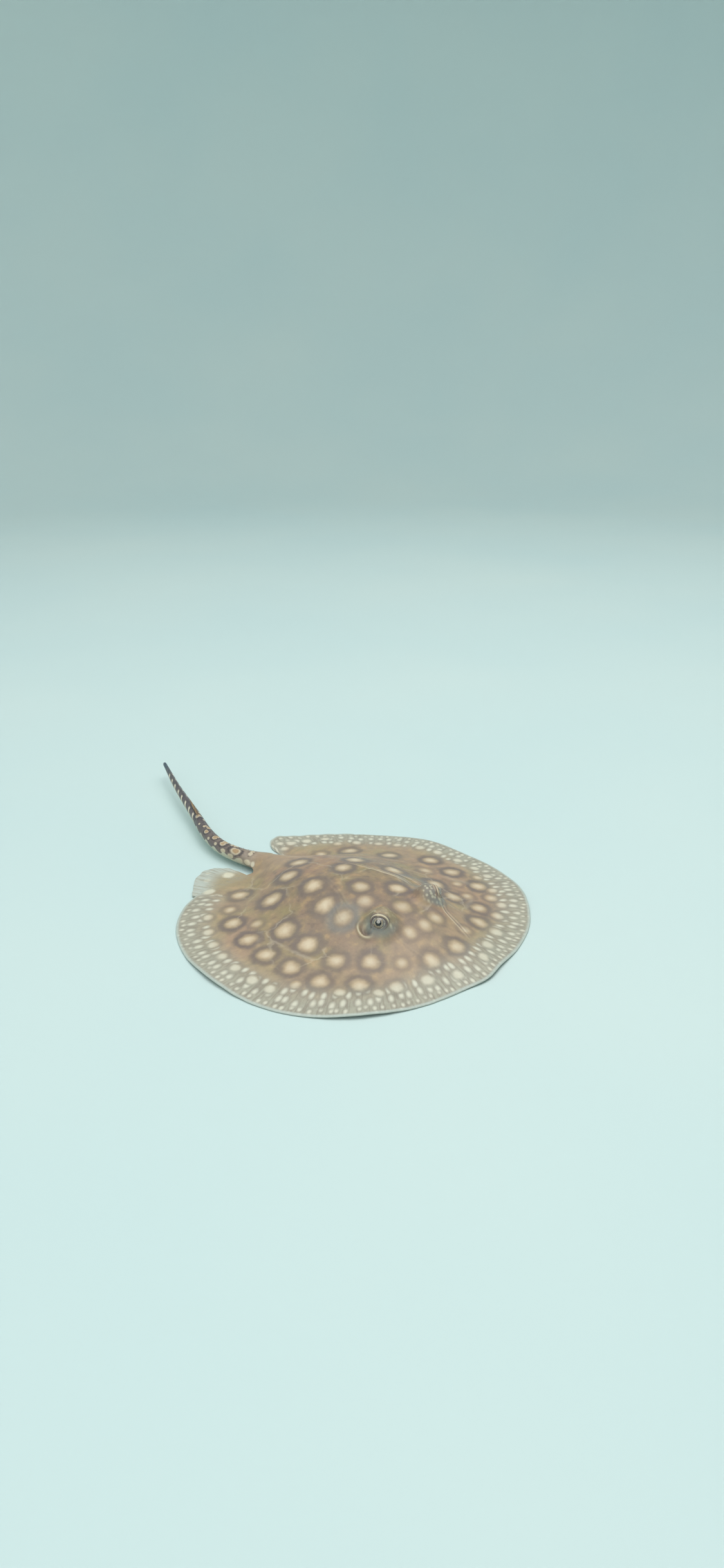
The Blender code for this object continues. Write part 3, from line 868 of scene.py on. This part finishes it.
def spots():
    """Centre, size, ring strength and paleness of every spot, one row each."""
    rows = []
    for radius, size, ring, pale, angles in SPOT_ROWS:
        for angle in angles:
            turn = math.radians(angle)
            rows.append((radius * math.sin(turn) * MM, -radius * math.cos(turn) * MM, size * MM, ring, pale))
    rows += [(x * MM, y * MM, size * MM, 0.15 if x < 0 else 0.5, pale) for x, y, size, pale in PELVIC_SPOTS]
    return np.array(rows)


def tail_ocellus(share, turn):
    """Distance to the nearest of the tail's spots in its sizes, its ring strength and paleness."""
    along, half_round = share * TAIL_LENGTH / MM, math.pi * tail_halves(share)[1] / MM
    best = (9.0, 0.0, 1.0)
    for middle, around, size, ring in TAIL_SPOTS:
        middle += 0.0 if turn > 0 or around < 0.1 else LEFT_SHIFT
        away = math.hypot((along - middle) / TAIL_SPOT_LENGTH, (abs(turn) - around) * half_round) / size
        best = min(best, (away, ring, 1.0))
    return best


SPOTS = spots()
print("spots:", len(SPOTS))

# %% Write the attributes
REAR_FROM, REAR_TO = math.radians(144), math.radians(152)  # where the fins behind take over from the margin


def fin_edge(side):
    """Angle from the snout and distance from the origin along the free margin of a pelvic fin."""
    margin = PELVIC_MARGIN[side]
    points = [(through(margin, u) * MM, through(margin, u, 2) * MM) for u in np.linspace(1, 0, 60)]
    return [math.atan2(x, -y) for x, y in points], [math.hypot(x, y) for x, y in points]


FIN_EDGES = {side: fin_edge(side) for side in (-1, 1)}


def inward_of(x, y):
    """Distance in from the margin of the disc or, where one reaches further out, of a pelvic fin."""
    angle = math.atan2(x, -y)
    reach = rim_radius(angle)
    if y > 0:
        reach = max(reach, np.interp(abs(angle), *FIN_EDGES[1 if x > 0 else -1], left=0.0))
    return reach - math.hypot(x, y)


def put_attribute(mesh, name, rows):
    """Stores three numbers for each point of a mesh."""
    made = mesh.attributes.new(name, "FLOAT_VECTOR", "POINT")
    made.data.foreach_set("vector", np.array(rows, np.float32).ravel())


FRONT_CORNER = (19.6 * MM, -39.6 * MM)  # a dark patch with a pale dot before each eye
KNOB_DOT_STEP = 2.0 * MM
GREY_RING = (28.3 * MM, -12.6 * MM, 7.5 * MM)  # X, Y and radius of the greyer ring round one spot


def face_tints(place):
    """Strength of cream, dark and blue-grey about the eyes, spiracles and folds; some dark is painted shade,
    some cream painted highlight.
    """
    x, y = place.x, place.y
    cream = dark = blue = 0.0
    along, across, far = spiracle_place(x, y)
    if far < 3:
        outer = spiracle_outer(along, across)
        inner = smooth_step(0.2, 0.8, -across / math.hypot(along, across, 1e-6))
        cream += bell(far - 1.2, 0.1) * max(0.75 * outer**2, 0.3 * inner)
        dark += 0.6 * (1 - smooth_step(0.75, 1.15, far))
        dark += 0.35 * bell(far - 1.5, 0.18) * outer
        lobe = math.hypot(along - VALVE[0], across - VALVE[1]) / VALVE[2]
        dark += 0.5 * bell(lobe - 1.0, 0.22) - 0.3 * bell(lobe, 0.8)
        tan_patch = math.hypot(along - 2.2 * MM, across + 0.6 * MM) / (1.9 * MM)
        cream += 0.45 * bell(tan_patch, 1.0)
        dark -= 0.3 * bell(tan_patch, 1.0)
    away, past, upper = about_eye(place)
    if away.length < 2.6 * EYE_RADIUS:
        near = 1 - smooth_step(1.15 * EYE_RADIUS, 1.5 * EYE_RADIUS, away.length)
        round_about = 1 - smooth_step(1.6 * EYE_RADIUS, 2.1 * EYE_RADIUS, away.length)
        above = smooth_step(-0.15, 0.5, upper)
        # Painted shadow: a dark line on the lid's edge, where it tucks in against the eyeball. Above the eye a
        # second dark line arches further out, with a cream line between.
        dark += near * bell(past - 0.02, 0.09) + 0.8 * near * above * bell(past - 0.38, 0.07)
        cream += (1.2 if x < 0 else 0.6) * near * above * bell(past - 0.25, 0.08)
        below = smooth_step(0.35, -0.4, away.normalized().z)
        blue += 0.9 * below * (1 - smooth_step(1.2 * EYE_RADIUS, 2.2 * EYE_RADIUS, away.length))
        # The back of the knob has rows of small pale dots with dark between.
        behind = round_about * smooth_step(0.5, 0.65, past) * (1.0 if x > 0 else 0.15)
        blue += 0.55 * behind
        to_dot = noise.voronoi(place / KNOB_DOT_STEP)[0][0]
        cream += 1.1 * behind * (1 - smooth_step(0.26, 0.46, to_dot))
        dark += 0.5 * behind * smooth_step(0.4, 0.58, to_dot)
    blue += 0.5 * bell(math.hypot(abs(x) - GREY_RING[0], y - GREY_RING[1]) - GREY_RING[2], 2.6 * MM)
    corner = math.hypot(abs(x) - FRONT_CORNER[0], y - FRONT_CORNER[1])
    dark += 0.55 * bell(corner, 2.4 * MM)
    cream += 0.9 * bell(corner, 0.8 * MM)
    # Along each fold: painted highlight, cream on its two ridges; painted shade, dark in the crease between
    # them and just outside the outer ridge.
    for fold in FOLDS:
        distance, strength = fold_distance(fold, x, y)
        cream += 0.8 * strength * bell(distance + FOLD_HALF_GAP, 0.55 * FOLD_HALF_GAP)
        cream += 0.4 * strength * bell(distance - FOLD_HALF_GAP, 0.55 * FOLD_HALF_GAP)
        dark += 1.0 * strength * bell(distance, 0.5 * FOLD_HALF_GAP)
        dark += 0.5 * strength * bell(distance - 2.1 * FOLD_HALF_GAP, 0.6 * FOLD_HALF_GAP)
    return min(cream, 1.0), min(max(dark, 0.0), 1.0), min(blue, 1.0)


RIM_MM = 95  # mm along the margin for one radian
FACE_ABOVE = 5 * MM  # no face tint lies lower
ROOT_HALF, ROOT_BACK = (13 * MM, 19 * MM), (64 * MM, 74 * MM)  # where the tail's root takes over, in X and Y
FIN_FADE = (-14 * MM, 3 * MM)  # from inside the disc's margin to outside it


def add_markings(mesh, ways):
    """Stores all that the skin's material reads. Ways holds each point's place along and around the tail."""
    places = [vert.co.copy() for vert in mesh.vertices]
    rises = [vert.normal.z for vert in mesh.vertices]
    plan = np.array([place[:2] for place in places])
    reach = np.hypot(plan[:, :1] - SPOTS[:, 0], plan[:, 1:] - SPOTS[:, 1]) / SPOTS[:, 2]
    nearest = reach.argmin(1)
    ocelli = np.column_stack([reach.min(1), SPOTS[nearest, 3], SPOTS[nearest, 4]])
    rows = {"ocellus": ocelli, "margin": [], "zone": [], "face": [], "tail_way": []}
    for place, rise, (tail_share, tail_turn) in zip(places, rises, ways):
        x, y, z = place
        share, angle = outwards(x, y)
        inward = rim_radius(angle) - math.hypot(x, y)
        margin_way = inward_of(x, y) if tail_share == 0 else inward
        root = (1 - smooth_step(*ROOT_HALF, abs(x))) * smooth_step(*ROOT_BACK, y)
        root = 1.0 if tail_share > 0 else root
        # Only the right pelvic fin is pale; the left one wears the pattern of the margin.
        rear = smooth_step(REAR_FROM, REAR_TO, abs(angle)) if x < 0 else 0.0
        pattern = (1 - root) * (1 - 0.85 * rear)
        fin = smooth_step(*FIN_FADE, -inward) * rear * (1 - root)
        on_tail = smooth_step(0.0, 0.09, tail_share)
        if y > COLUMN_BACK and root > 0:
            base, thickness = 0.0, 2 * tail_halves(tail_share)[1]
        elif inward < 0:
            base, thickness = 0.0, PELVIC_THIN
        else:
            base = underside(share, angle, x)
            thickness = max(back(x, y) - base, EDGE_THICKNESS)
        below = (1 - smooth_step(0.1, 0.55, (z - base) / thickness)) * smooth_step(0.7, 0.1, rise)
        if tail_share > 0.02:
            ocelli[len(rows["face"])] = tail_ocellus(tail_share, tail_turn)
        rows["margin"].append((angle * RIM_MM, margin_way / MM, pattern))
        rows["zone"].append((below * (1 - on_tail), on_tail, fin))
        rows["face"].append(face_tints(place) if z > FACE_ABOVE and tail_share == 0 else (0, 0, 0))
        rows["tail_way"].append((tail_share * TAIL_LENGTH / MM, tail_turn, tail_share))
    for name, values in rows.items():
        put_attribute(mesh, name, values)


ray_skin = as_object("skin", skin)
ray_skin.data.shade_smooth()
layers = [ray_skin.data.attributes[name].data for name in ("tail_along", "tail_around")]
add_markings(ray_skin.data, [(a.value, b.value) for a, b in zip(*layers)])
for name in ("tail_along", "tail_around", "around", "step"):
    if name in ray_skin.data.attributes:
        ray_skin.data.attributes.remove(ray_skin.data.attributes[name])
print("attributes:", [a.name for a in ray_skin.data.attributes if not a.name.startswith(".")])

# %% [markdown]
# ## The skin's finish
# Live ray skin is a thin wet film over a soft, finely grained hide: a broad dull sheen, not a shine. Its
# colour is layered as the pigment is: brown and olive ground, dark rings, the paler margin, pale middles,
# and last the parts that have their own pattern.

# %% Ground, spots and margin
GROUND, OLIVE, ROSE, TAN, MOTTLE, BUFF = "#97806d", "#988a68", "#a58472", "#b69874", "#7c6c60", "#bfa68a"
RING, RING_OUTER, PALE, PALE_CORE, VEIN = "#776a68", "#877868", "#c2aa8c", "#dac8ad", "#cdbfa8"
MARGIN, MARGIN_STREAK, PALE_EDGE_AND_LIGHT_THROUGH, DOT, HALO = "#aeac9c", "#8d8375", "#bec7bf", "#dad5c2", "#8e8478"
NOISES = ((38, 3, 0.5), (23, 2, 0.5), (420, 5, 0.65), (190, 3, 0.5))  # scale, detail and roughness


def three(name):
    """The three numbers of an attribute."""
    split, _ = node("SeparateXYZ", {0: node("Attribute", output="Vector", attribute_name=name)})
    return [(split, k) for k in range(3)]


def mask(source, start, end, top=1.0, bottom=0.0):
    """A smooth rise from bottom to top while a number goes from start to end."""
    sockets = {"Value": source, "From Min": start, "From Max": end, "To Min": bottom, "To Max": top}
    return node("MapRange", sockets, interpolation_type="SMOOTHSTEP")


def math_of(operation, first, *others):
    """Joins numbers from left to right by one operation."""
    for number in others or (0.0,):
        first = node("Math", {0: first, 1: number}, operation=operation)
    return first


def product(*numbers):
    return math_of("MULTIPLY", *numbers)


hide, tree, shader = new_material("ocellate_ray_skin")
place = node("TexCoord", output="Object")
from_spot, ring, paleness = three("ocellus")
around_mm, inward, pattern = three("margin")
below, on_tail, on_fin = three("zone")
cream, dark, blue = three("face")
along_mm, turn, tail_share = three("tail_way")
cloud, blush, grain, wobble = [
    node("TexNoise", {"Vector": place, "Scale": scale, "Detail": detail, "Roughness": roughness})
    for scale, detail, roughness in NOISES
]
shift = node("Math", {0: wobble, 1: 0.8, 2: -0.4}, operation="MULTIPLY_ADD")
distance = math_of("ADD", from_spot, shift)
streak_place = node("CombineXYZ", {0: math_of("DIVIDE", around_mm, 1.6), 1: math_of("DIVIDE", inward, 16.0)})
streaks = node("TexNoise", {"Vector": streak_place, "Scale": 1.0, "Detail": 3.0})
patchy = mask(blush, 0.35, 0.6, 1.0, 0.5)
pale = over(PALE, (PALE_CORE, mask(distance, 0.9, 0.05)), (DOT, mask(inward, 24.0, 14.0, 0.8)))
bend = node("VectorMath", {0: (wobble[0], "Color"), 1: (0.006, 0.006, 0.0)}, operation="MULTIPLY")
bent = node("VectorMath", {0: place, 1: bend}, operation="ADD")
veins = node("TexVoronoi", {"Vector": bent, "Scale": 34.0}, feature="DISTANCE_TO_EDGE")
paint = over(
    GROUND,
    (OLIVE, mask(cloud, 0.42, 0.62)),
    (ROSE, mask(blush, 0.48, 0.66, 0.8)),
    (TAN, mask(wobble, 0.5, 0.7, 0.7)),
    (MOTTLE, mask(wobble, 0.47, 0.32, 0.6)),
    (BUFF, mask(inward, 66.0, 22.0, 0.42)),
    (RING_OUTER, product(mask(distance, 2.5, 1.5, 0.7), ring)),
    (RING, product(mask(distance, 0.95, 1.4), mask(distance, 2.15, 1.45, 0.72), ring, patchy)),
    (MARGIN, product(mask(inward, 27.0, 5.0, 0.85), pattern)),
    (MARGIN_STREAK, product(mask(streaks, 0.5, 0.62, 0.5), mask(inward, 30.0, 8.0), pattern)),
    (pale, product(mask(distance, 1.3, 0.55), paleness)),
    (VEIN, product(mask(veins, 0.03, 0.0, 0.3), mask(inward, 20.0, 40.0), mask(cloud, 0.46, 0.6))),
)
print("nodes so far:", len(tree.nodes))

# %% Dots along the margin
# Pale dots stand in staggered rows along the margin, smaller outwards and long in the way of the fin rays.
# Cells of a Voronoi pattern, laid out in millimetres along and in from the margin, give one dot each, once
# for the large ones and once for the small.
DOT_ROWS = (  # steps along and inwards, offset and the two sides of the band, in mm, and radius in cells
    (6.2, 7.0, 0.0, 5.8, 18.5, 0.54),
    (4.7, 5.2, 2.3, 0.6, 5.4, 0.48),
)
DOT_NARROW = (1.4, 1.0, 0.0)  # narrower than long
clear = mask(from_spot, 1.2, 1.8)
for along_step, inward_step, offset, outer, inner, dot_radius in DOT_ROWS:
    row = math_of("DIVIDE", math_of("ADD", inward, offset), inward_step)
    cell = node("CombineXYZ", {0: math_of("DIVIDE", around_mm, along_step), 1: row})
    sockets = {"Vector": cell, "Scale": 1.0, "Randomness": 0.5}
    centre = node("TexVoronoi", sockets, "Position", voronoi_dimensions="2D")
    from_dot = node("VectorMath", {0: cell, 1: centre}, operation="SUBTRACT")
    narrowed = node("VectorMath", {0: from_dot, 1: DOT_NARROW}, operation="MULTIPLY")
    away = node("VectorMath", {0: narrowed}, "Value", operation="LENGTH")
    away = math_of("ADD", away, product(shift, 0.25))
    sides = [mask(inward, outer - 1.5, outer + 1.0), mask(inward, inner + 1.5, inner - 2.0)]
    band = product(*sides, clear, pattern)
    halo = product(mask(away, dot_radius + 0.3, dot_radius - 0.05, 0.36), band)
    paint = over(paint, (HALO, halo), (DOT, product(mask(away, dot_radius, 0.15 * dot_radius, 0.9), band)))
# The very edge is paler and grey-green: partly the margin's own pale tone, partly painted light, the floor
# showing through the thin edge.
paint = over(paint, (PALE_EDGE_AND_LIGHT_THROUGH, product(mask(inward, 2.2, 0.4, 0.8), pattern)))

# The pelvic fins are thin and pale, tan where they leave the disc, with fine rays and a few soft spots. Their
# pale grey-green outer part is partly the fin's own tone and partly painted light, the floor showing through.
FIN_TAN, FIN_PALE_AND_LIGHT_THROUGH, FIN_RAY, FIN_SPOT = "#ac9d80", "#bec2b8", "#a39c8b", "#dbd5bf"
fin_paint = over(
    FIN_TAN,
    (FIN_PALE_AND_LIGHT_THROUGH, mask(inward, 18.0, 5.0)),
    (FIN_RAY, mask(streaks, 0.46, 0.62, 0.65)),
    (FIN_SPOT, product(mask(distance, 1.25, 0.55), paleness)),
)
paint = over(paint, (fin_paint, mask(math_of("ADD", on_fin, product(shift, on_fin, 0.8)), 0.05, 0.85)))
print("nodes so far:", len(tree.nodes))

# %% [markdown]
# ## Tail, face and belly
# The tail darkens to near black with narrow slanting cream bars on its sides and a cream, scalloped lower
# edge. Its bars are a saw-tooth of the way along, slanted by the way around. The lids and the spiracle's
# lips are cream beside dark, and the belly is off-white with a grey border. Among the face's dark is painted
# shade at the lids' edges and in the folds' creases, and among its cream painted highlight on the folds'
# ridges.

# %% The tail's pattern
TAIL_ROOT, TAIL_BROWN, TAIL_DARK, TAIL_MOTTLE, TAIL_TIP = "#a59584", "#85776f", "#5b5558", "#6e6465", "#4c5d69"
TAIL_RING, TAIL_SPOT, TAIL_CORE, TAIL_CREAM, TAIL_BELOW = "#4a4447", "#cdbfa6", "#ac8c69", "#ded2bb", "#c9c3ac"
BAR_STEP = 10.0  # mm from one bar to the next

side_turn = math_of("ABSOLUTE", turn)
tail_distance = math_of("ADD", from_spot, product(shift, 0.8))
slant = math_of("ADD", math_of("DIVIDE", along_mm, BAR_STEP), product(side_turn, 0.9), product(shift, 0.35))
saw = math_of("ABSOLUTE", math_of("SUBTRACT", math_of("FRACT", slant), 0.5))
scallop = product(math_of("SINE", product(slant, 2 * math.pi)), 0.075)
bars = (mask(saw, 0.19, 0.10), mask(side_turn, 0.10, 0.22))
lower = mask(math_of("ADD", side_turn, scallop), 0.48, 0.53)
tail_paint = over(
    TAIL_ROOT,
    (TAIL_BROWN, mask(tail_share, 0.03, 0.16)),
    (TAIL_DARK, mask(tail_share, 0.14, 0.46)),
    (TAIL_MOTTLE, product(mask(wobble, 0.45, 0.58, 0.6), mask(tail_share, 0.08, 0.25))),
    (TAIL_RING, product(mask(tail_distance, 0.95, 1.2), mask(tail_distance, 1.75, 1.4), ring, 0.8)),
    (TAIL_SPOT, mask(tail_distance, 1.05, 0.7)),
    (TAIL_CORE, product(mask(tail_distance, 0.8, 0.45), ring, 0.9)),
    (TAIL_CREAM, product(*bars, mask(tail_share, 0.40, 0.47), mask(tail_share, 0.93, 0.86))),
    (TAIL_BELOW, product(lower, mask(tail_share, 0.05, 0.12), mask(tail_share, 0.97, 0.9))),
    (TAIL_TIP, mask(tail_share, 0.84, 0.98, 0.8)),
)
paint = over(paint, (tail_paint, on_tail))

# %% Face, belly and surface
FACE_DARK_AND_SHADE, FACE_CREAM_AND_HIGHLIGHT, FACE_BLUE = "#6f6260", "#d8cbad", "#888c88"
BELLY, BELLY_EDGE, BELLY_BLUSH = "#e4ded2", "#8f877c", "#d8bfae"
FIN_RAY_STEP = 1.7  # mm

belly = over(BELLY, (BELLY_EDGE, mask(inward, 17.0, 2.0, 0.75)), (BELLY_BLUSH, mask(blush, 0.5, 0.72, 0.5)))
# The face's dark is partly painted shade, at the lids' edges and in the folds' creases, and its cream partly
# painted highlight, on the folds' ridges.
paint = over(paint, (FACE_DARK_AND_SHADE, dark), (FACE_CREAM_AND_HIGHLIGHT, cream), (FACE_BLUE, product(blue, 0.8)), (belly, below))
fleck = mask(grain, 0.25, 0.75, 0.58, 0.42)
paint = over(paint, (node("CombineColor", {0: fleck, 1: fleck, 2: fleck}), 0.35), blend="OVERLAY")

# The film of water dulls where grains stand through it, so the same grain drives roughness and bump.
pores = node("TexVoronoi", {"Vector": place, "Scale": 900.0})
ray_lines = math_of("SINE", product(around_mm, 2 * math.pi / FIN_RAY_STEP))
ray_lines = product(ray_lines, mask(inward, 34.0, 12.0, 0.5), mask(cloud, 0.35, 0.6), pattern)
relief = math_of("ADD", grain, product(pores, 0.35), product(ray_lines, 0.22))
plug(shader, {
    "Base Color": paint,
    "Roughness": mask(grain, 0.3, 0.7, 0.52, 0.36),
    "Normal": node("Bump", {"Height": relief, "Strength": 0.35, "Distance": 0.25 * MM}),
    "IOR": 1.38,  # wet skin
    "Specular IOR Level": 0.4,
    "Coat Weight": 0.12,
    "Coat Roughness": 0.28,
})
ray_skin.data.materials.append(hide)
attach(ray_skin, "root")
FLESH = [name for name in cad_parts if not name.startswith("eye") and name != "tail_sting"]
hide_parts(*FLESH)
print("skin nodes:", len(tree.nodes), "; replaces", len(FLESH), "solids")

# %% [markdown]
# ## Eyes
# A ray's eye is a ball with a clear bulging cornea over a ringed iris. In bright light a fringed flap, the
# operculum, hangs down over the pupil and leaves a dark crescent. The ball's pole looks out of the lids, so
# that rings are simply angles from it, kept as an attribute with the places across and up beside them.

# %% Shape the eyeballs
CORNEA_ANGLE, CORNEA_BULGE = math.radians(36), 0.28 * MM
BALL_RADIUS = EYE_RADIUS * 0.995


def eyeball(name, side):
    """A sphere whose pole looks along the eye's axis, with its cornea swollen."""
    centre, axis, lift = EYES[side]
    pole = Vector((0, 0, 1))
    ball = bmesh.new()
    bmesh.ops.create_uvsphere(ball, u_segments=64, v_segments=48, radius=BALL_RADIUS)
    for vert in ball.verts:
        vert.co *= 1 + CORNEA_BULGE / EYE_RADIUS * (1 - smooth_step(0, CORNEA_ANGLE, vert.co.angle(pole)))
    bmesh.ops.rotate(ball, verts=ball.verts, cent=(0, 0, 0), matrix=pole.rotation_difference(axis).to_matrix())
    bmesh.ops.translate(ball, verts=ball.verts, vec=centre)
    made = as_object(name, ball)
    made.data.shade_smooth()
    rows = []
    for vert in made.data.vertices:
        out = (vert.co - centre).normalized()
        rows.append((math.degrees(out.angle(axis)), out.dot(axis.cross(lift)), out.dot(lift)))
    put_attribute(made.data, "gaze", rows)
    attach(made, "root")
    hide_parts(f"eye_{name.split('_')[-1]}")
    return made


eyes = [eyeball("eyeball_right", -1), eyeball("eyeball_left", 1)]
print("eyeball faces:", len(eyes[0].data.polygons))

# %% The eyes' finish
# Iris under a wet cornea: grey-lavender with a gold fleck, dark rings, and a clear coat for the wet film. The
# outermost dark ring, at the lid's edge, is painted shadow of the lid.
IRIS, FIBRES, GOLD, DARK_RING = "#8f8782", "#b3a998", "#b9a071", "#2e2a2b"
WALL_AND_LID_SHADOW, PUPIL, OPERCULUM = "#2b2728", "#0c0b0c", "#a69f97"
# The last ring, at the opening's edge, is painted shadow where the lid overhangs the ball; the first two are
# the iris's own.
IRIS_RINGS_AND_LID_SHADOW = ((25.0, 2.4, 0.35), (34.0, 2.2, 0.85), (52.0, 6.0, 1.0))  # middle, half width, strength

wet_eye, tree, shader = new_material("wet_ringed_eye")
off_axis, across, upwards = three("gaze")
fibre = node("TexNoise", {"Vector": node("TexCoord", output="Object"), "Scale": 900.0, "Detail": 4.0})
off = math_of("ADD", off_axis, product(math_of("SUBTRACT", fibre, 0.5), 7.0))
gold = product(mask(off, 20.0, 24.0), mask(off, 30.0, 26.0), 0.6)
paint = over(IRIS, (FIBRES, mask(fibre, 0.4, 0.65)), (GOLD, gold))
for middle, half, strength in IRIS_RINGS_AND_LID_SHADOW:
    sides = [mask(off, middle + way * 1.6 * half, middle) for way in (-1, 1)]
    paint = over(paint, (DARK_RING, product(*sides, strength)))
flap_up = math_of("POWER", math_of("SUBTRACT", upwards, 0.13), 2.0)
flap = math_of("SQRT", math_of("ADD", math_of("POWER", across, 2.0), flap_up))
# Past 50 degrees the ball is dark; the sliver of it that shows at the lid's edge adds to the painted shadow.
paint = over(
    paint,
    (WALL_AND_LID_SHADOW, mask(off_axis, 50.0, 56.0)),
    (PUPIL, mask(off, 20.5, 18.0)),
    (OPERCULUM, product(mask(flap, 0.22, 0.17), mask(off, 21.0, 17.0))),
)
plug(shader, {
    "Base Color": paint,
    "Roughness": mask(fibre, 0.3, 0.7, 0.30, 0.22),
    "Normal": node("Bump", {"Height": fibre, "Strength": 0.12, "Distance": 0.1 * MM}),
    "IOR": 1.376,  # cornea
    "Coat Weight": 1.0,
    "Coat Roughness": 0.04,
})
for eye in eyes:
    eye.data.materials.append(wet_eye)
print("eye nodes:", len(tree.nodes))

# %% [markdown]
# ## The sting
# The sting is a flat spine of dentine with backward barbs, lying on top of the tail. Its solid already has
# that shape, so it stays and gets its finish: horn-brown, darker towards the root and in fine grooves.

# %% The sting's finish
HORN, HORN_DARK, HORN_ROOT = "#a58660", "#6d553f", "#54443a"
GROOVE_SIZE = (0.45 * MM, 7 * MM, 1.1 * MM)  # across, along and through the sting

dentine, tree, shader = new_material("sting_dentine")
place = node("TexCoord", output="Object")
spine_size = high["tail_sting"] - low["tail_sting"]
heading = math.atan2(spine_size.x, spine_size.y)
streak_place = node("Mapping", {0: place, 2: (0, 0, -heading), 3: GROOVE_SIZE}, vector_type="TEXTURE")
streak = node("TexNoise", {"Vector": streak_place, "Scale": 1.0, "Detail": 3.0})
to_root = mask(node("SeparateXYZ", {0: place}, 1), high["tail_sting"].y, low["tail_sting"].y, 0.5)
plug(shader, {
    "Base Color": over(HORN, (HORN_DARK, mask(streak, 0.42, 0.6)), (HORN_ROOT, to_root)),
    "Roughness": mask(streak, 0.3, 0.7, 0.5, 0.32),
    "Normal": node("Bump", {"Height": streak, "Strength": 0.4, "Distance": 0.1 * MM}),
    "IOR": 1.54,  # dentine
})
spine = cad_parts["tail_sting"]
spine.data.materials.clear()
spine.data.materials.append(dentine)
print("sting in mm:", [round(v / MM, 1) for v in spine_size])

# %% [markdown]
# ## Thorns of the tail
# Low thorns stand in a row on the ridge of the tail before the sting, with smaller ones beside them. Each is
# a small cone leaning back. They carry the skin's own markings, and each has a tiny patch at its root's place
# in a UV map named OFBake.

# %% Plant the thorns
THORN_FROM, THORN_TO, THORN_STEP = 0.06, 0.41, 0.021
THORN_HEIGHT, THORN_RADIUS, THORN_SUNK = 0.75 * MM, 0.62 * MM, 0.5 * MM
THORN_COLUMNS = ((0.0, 1.0), (0.17, 0.55), (-0.17, 0.55))  # share of half a turn from the top, and size
THORN_LEAN = 0.75
THORN_PATCH, MAP_MARGIN = 0.003, 0.01

thorns = bmesh.new()
root_layer = thorns.verts.layers.float_vector.new("root")
way_layer = thorns.verts.layers.float_vector.new("way")
uv_layer = thorns.loops.layers.uv.new("OFBake")
count = 0
span = Vector(cad_bounds[1]) - Vector(cad_bounds[0])
share = THORN_FROM
while share < THORN_TO:
    for column, (turn, size) in enumerate(THORN_COLUMNS):
        here = share + (THORN_STEP / 2 if column else 0.0)
        jitter = noise.noise(Vector((here * 90, column, 0))) * 0.03
        angle = math.pi / 2 + (turn + jitter) * math.pi
        root = tail_point(here, angle)
        _, along, _, _ = tail_frame(here)
        outward = (root - tail_centre(here)).normalized()
        lean = (outward + along * THORN_LEAN).normalized()
        made = bmesh.ops.create_cone(
            thorns, cap_ends=True, segments=10, radius1=THORN_RADIUS * size, radius2=0.1 * MM * size,
            depth=(THORN_HEIGHT + THORN_SUNK) * size,
        )["verts"]
        turned = Vector((0, 0, 1)).rotation_difference(lean).to_matrix().to_4x4()
        bmesh.ops.transform(thorns, verts=made, matrix=Matrix.Translation(root) @ turned)
        patch = Vector(((root.x - cad_bounds[0][0]) / span.x, (root.y - cad_bounds[0][1]) / span.y))
        for vert in made:
            vert[root_layer] = root
            vert[way_layer] = (here, turn + jitter, 0)
            for loop in vert.link_loops:
                spot = (vert.co - root).xy / (2 * THORN_RADIUS) * THORN_PATCH / 2
                loop[uv_layer].uv = patch * (1 - 2 * MAP_MARGIN) + Vector((MAP_MARGIN, MAP_MARGIN)) + spot
        count += 1
    share += THORN_STEP
bmesh.ops.recalc_face_normals(thorns, faces=thorns.faces)
thorn_row = as_object("tail_thorns", thorns)
thorn_row.data.shade_smooth()
ways = [tuple(item.vector)[:2] for item in thorn_row.data.attributes["way"].data]
add_markings(thorn_row.data, ways)
for name in ("root", "way"):
    thorn_row.data.attributes.remove(thorn_row.data.attributes[name])
thorn_row.data.materials.append(hide)
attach(thorn_row, "root")
print("thorns:", count)
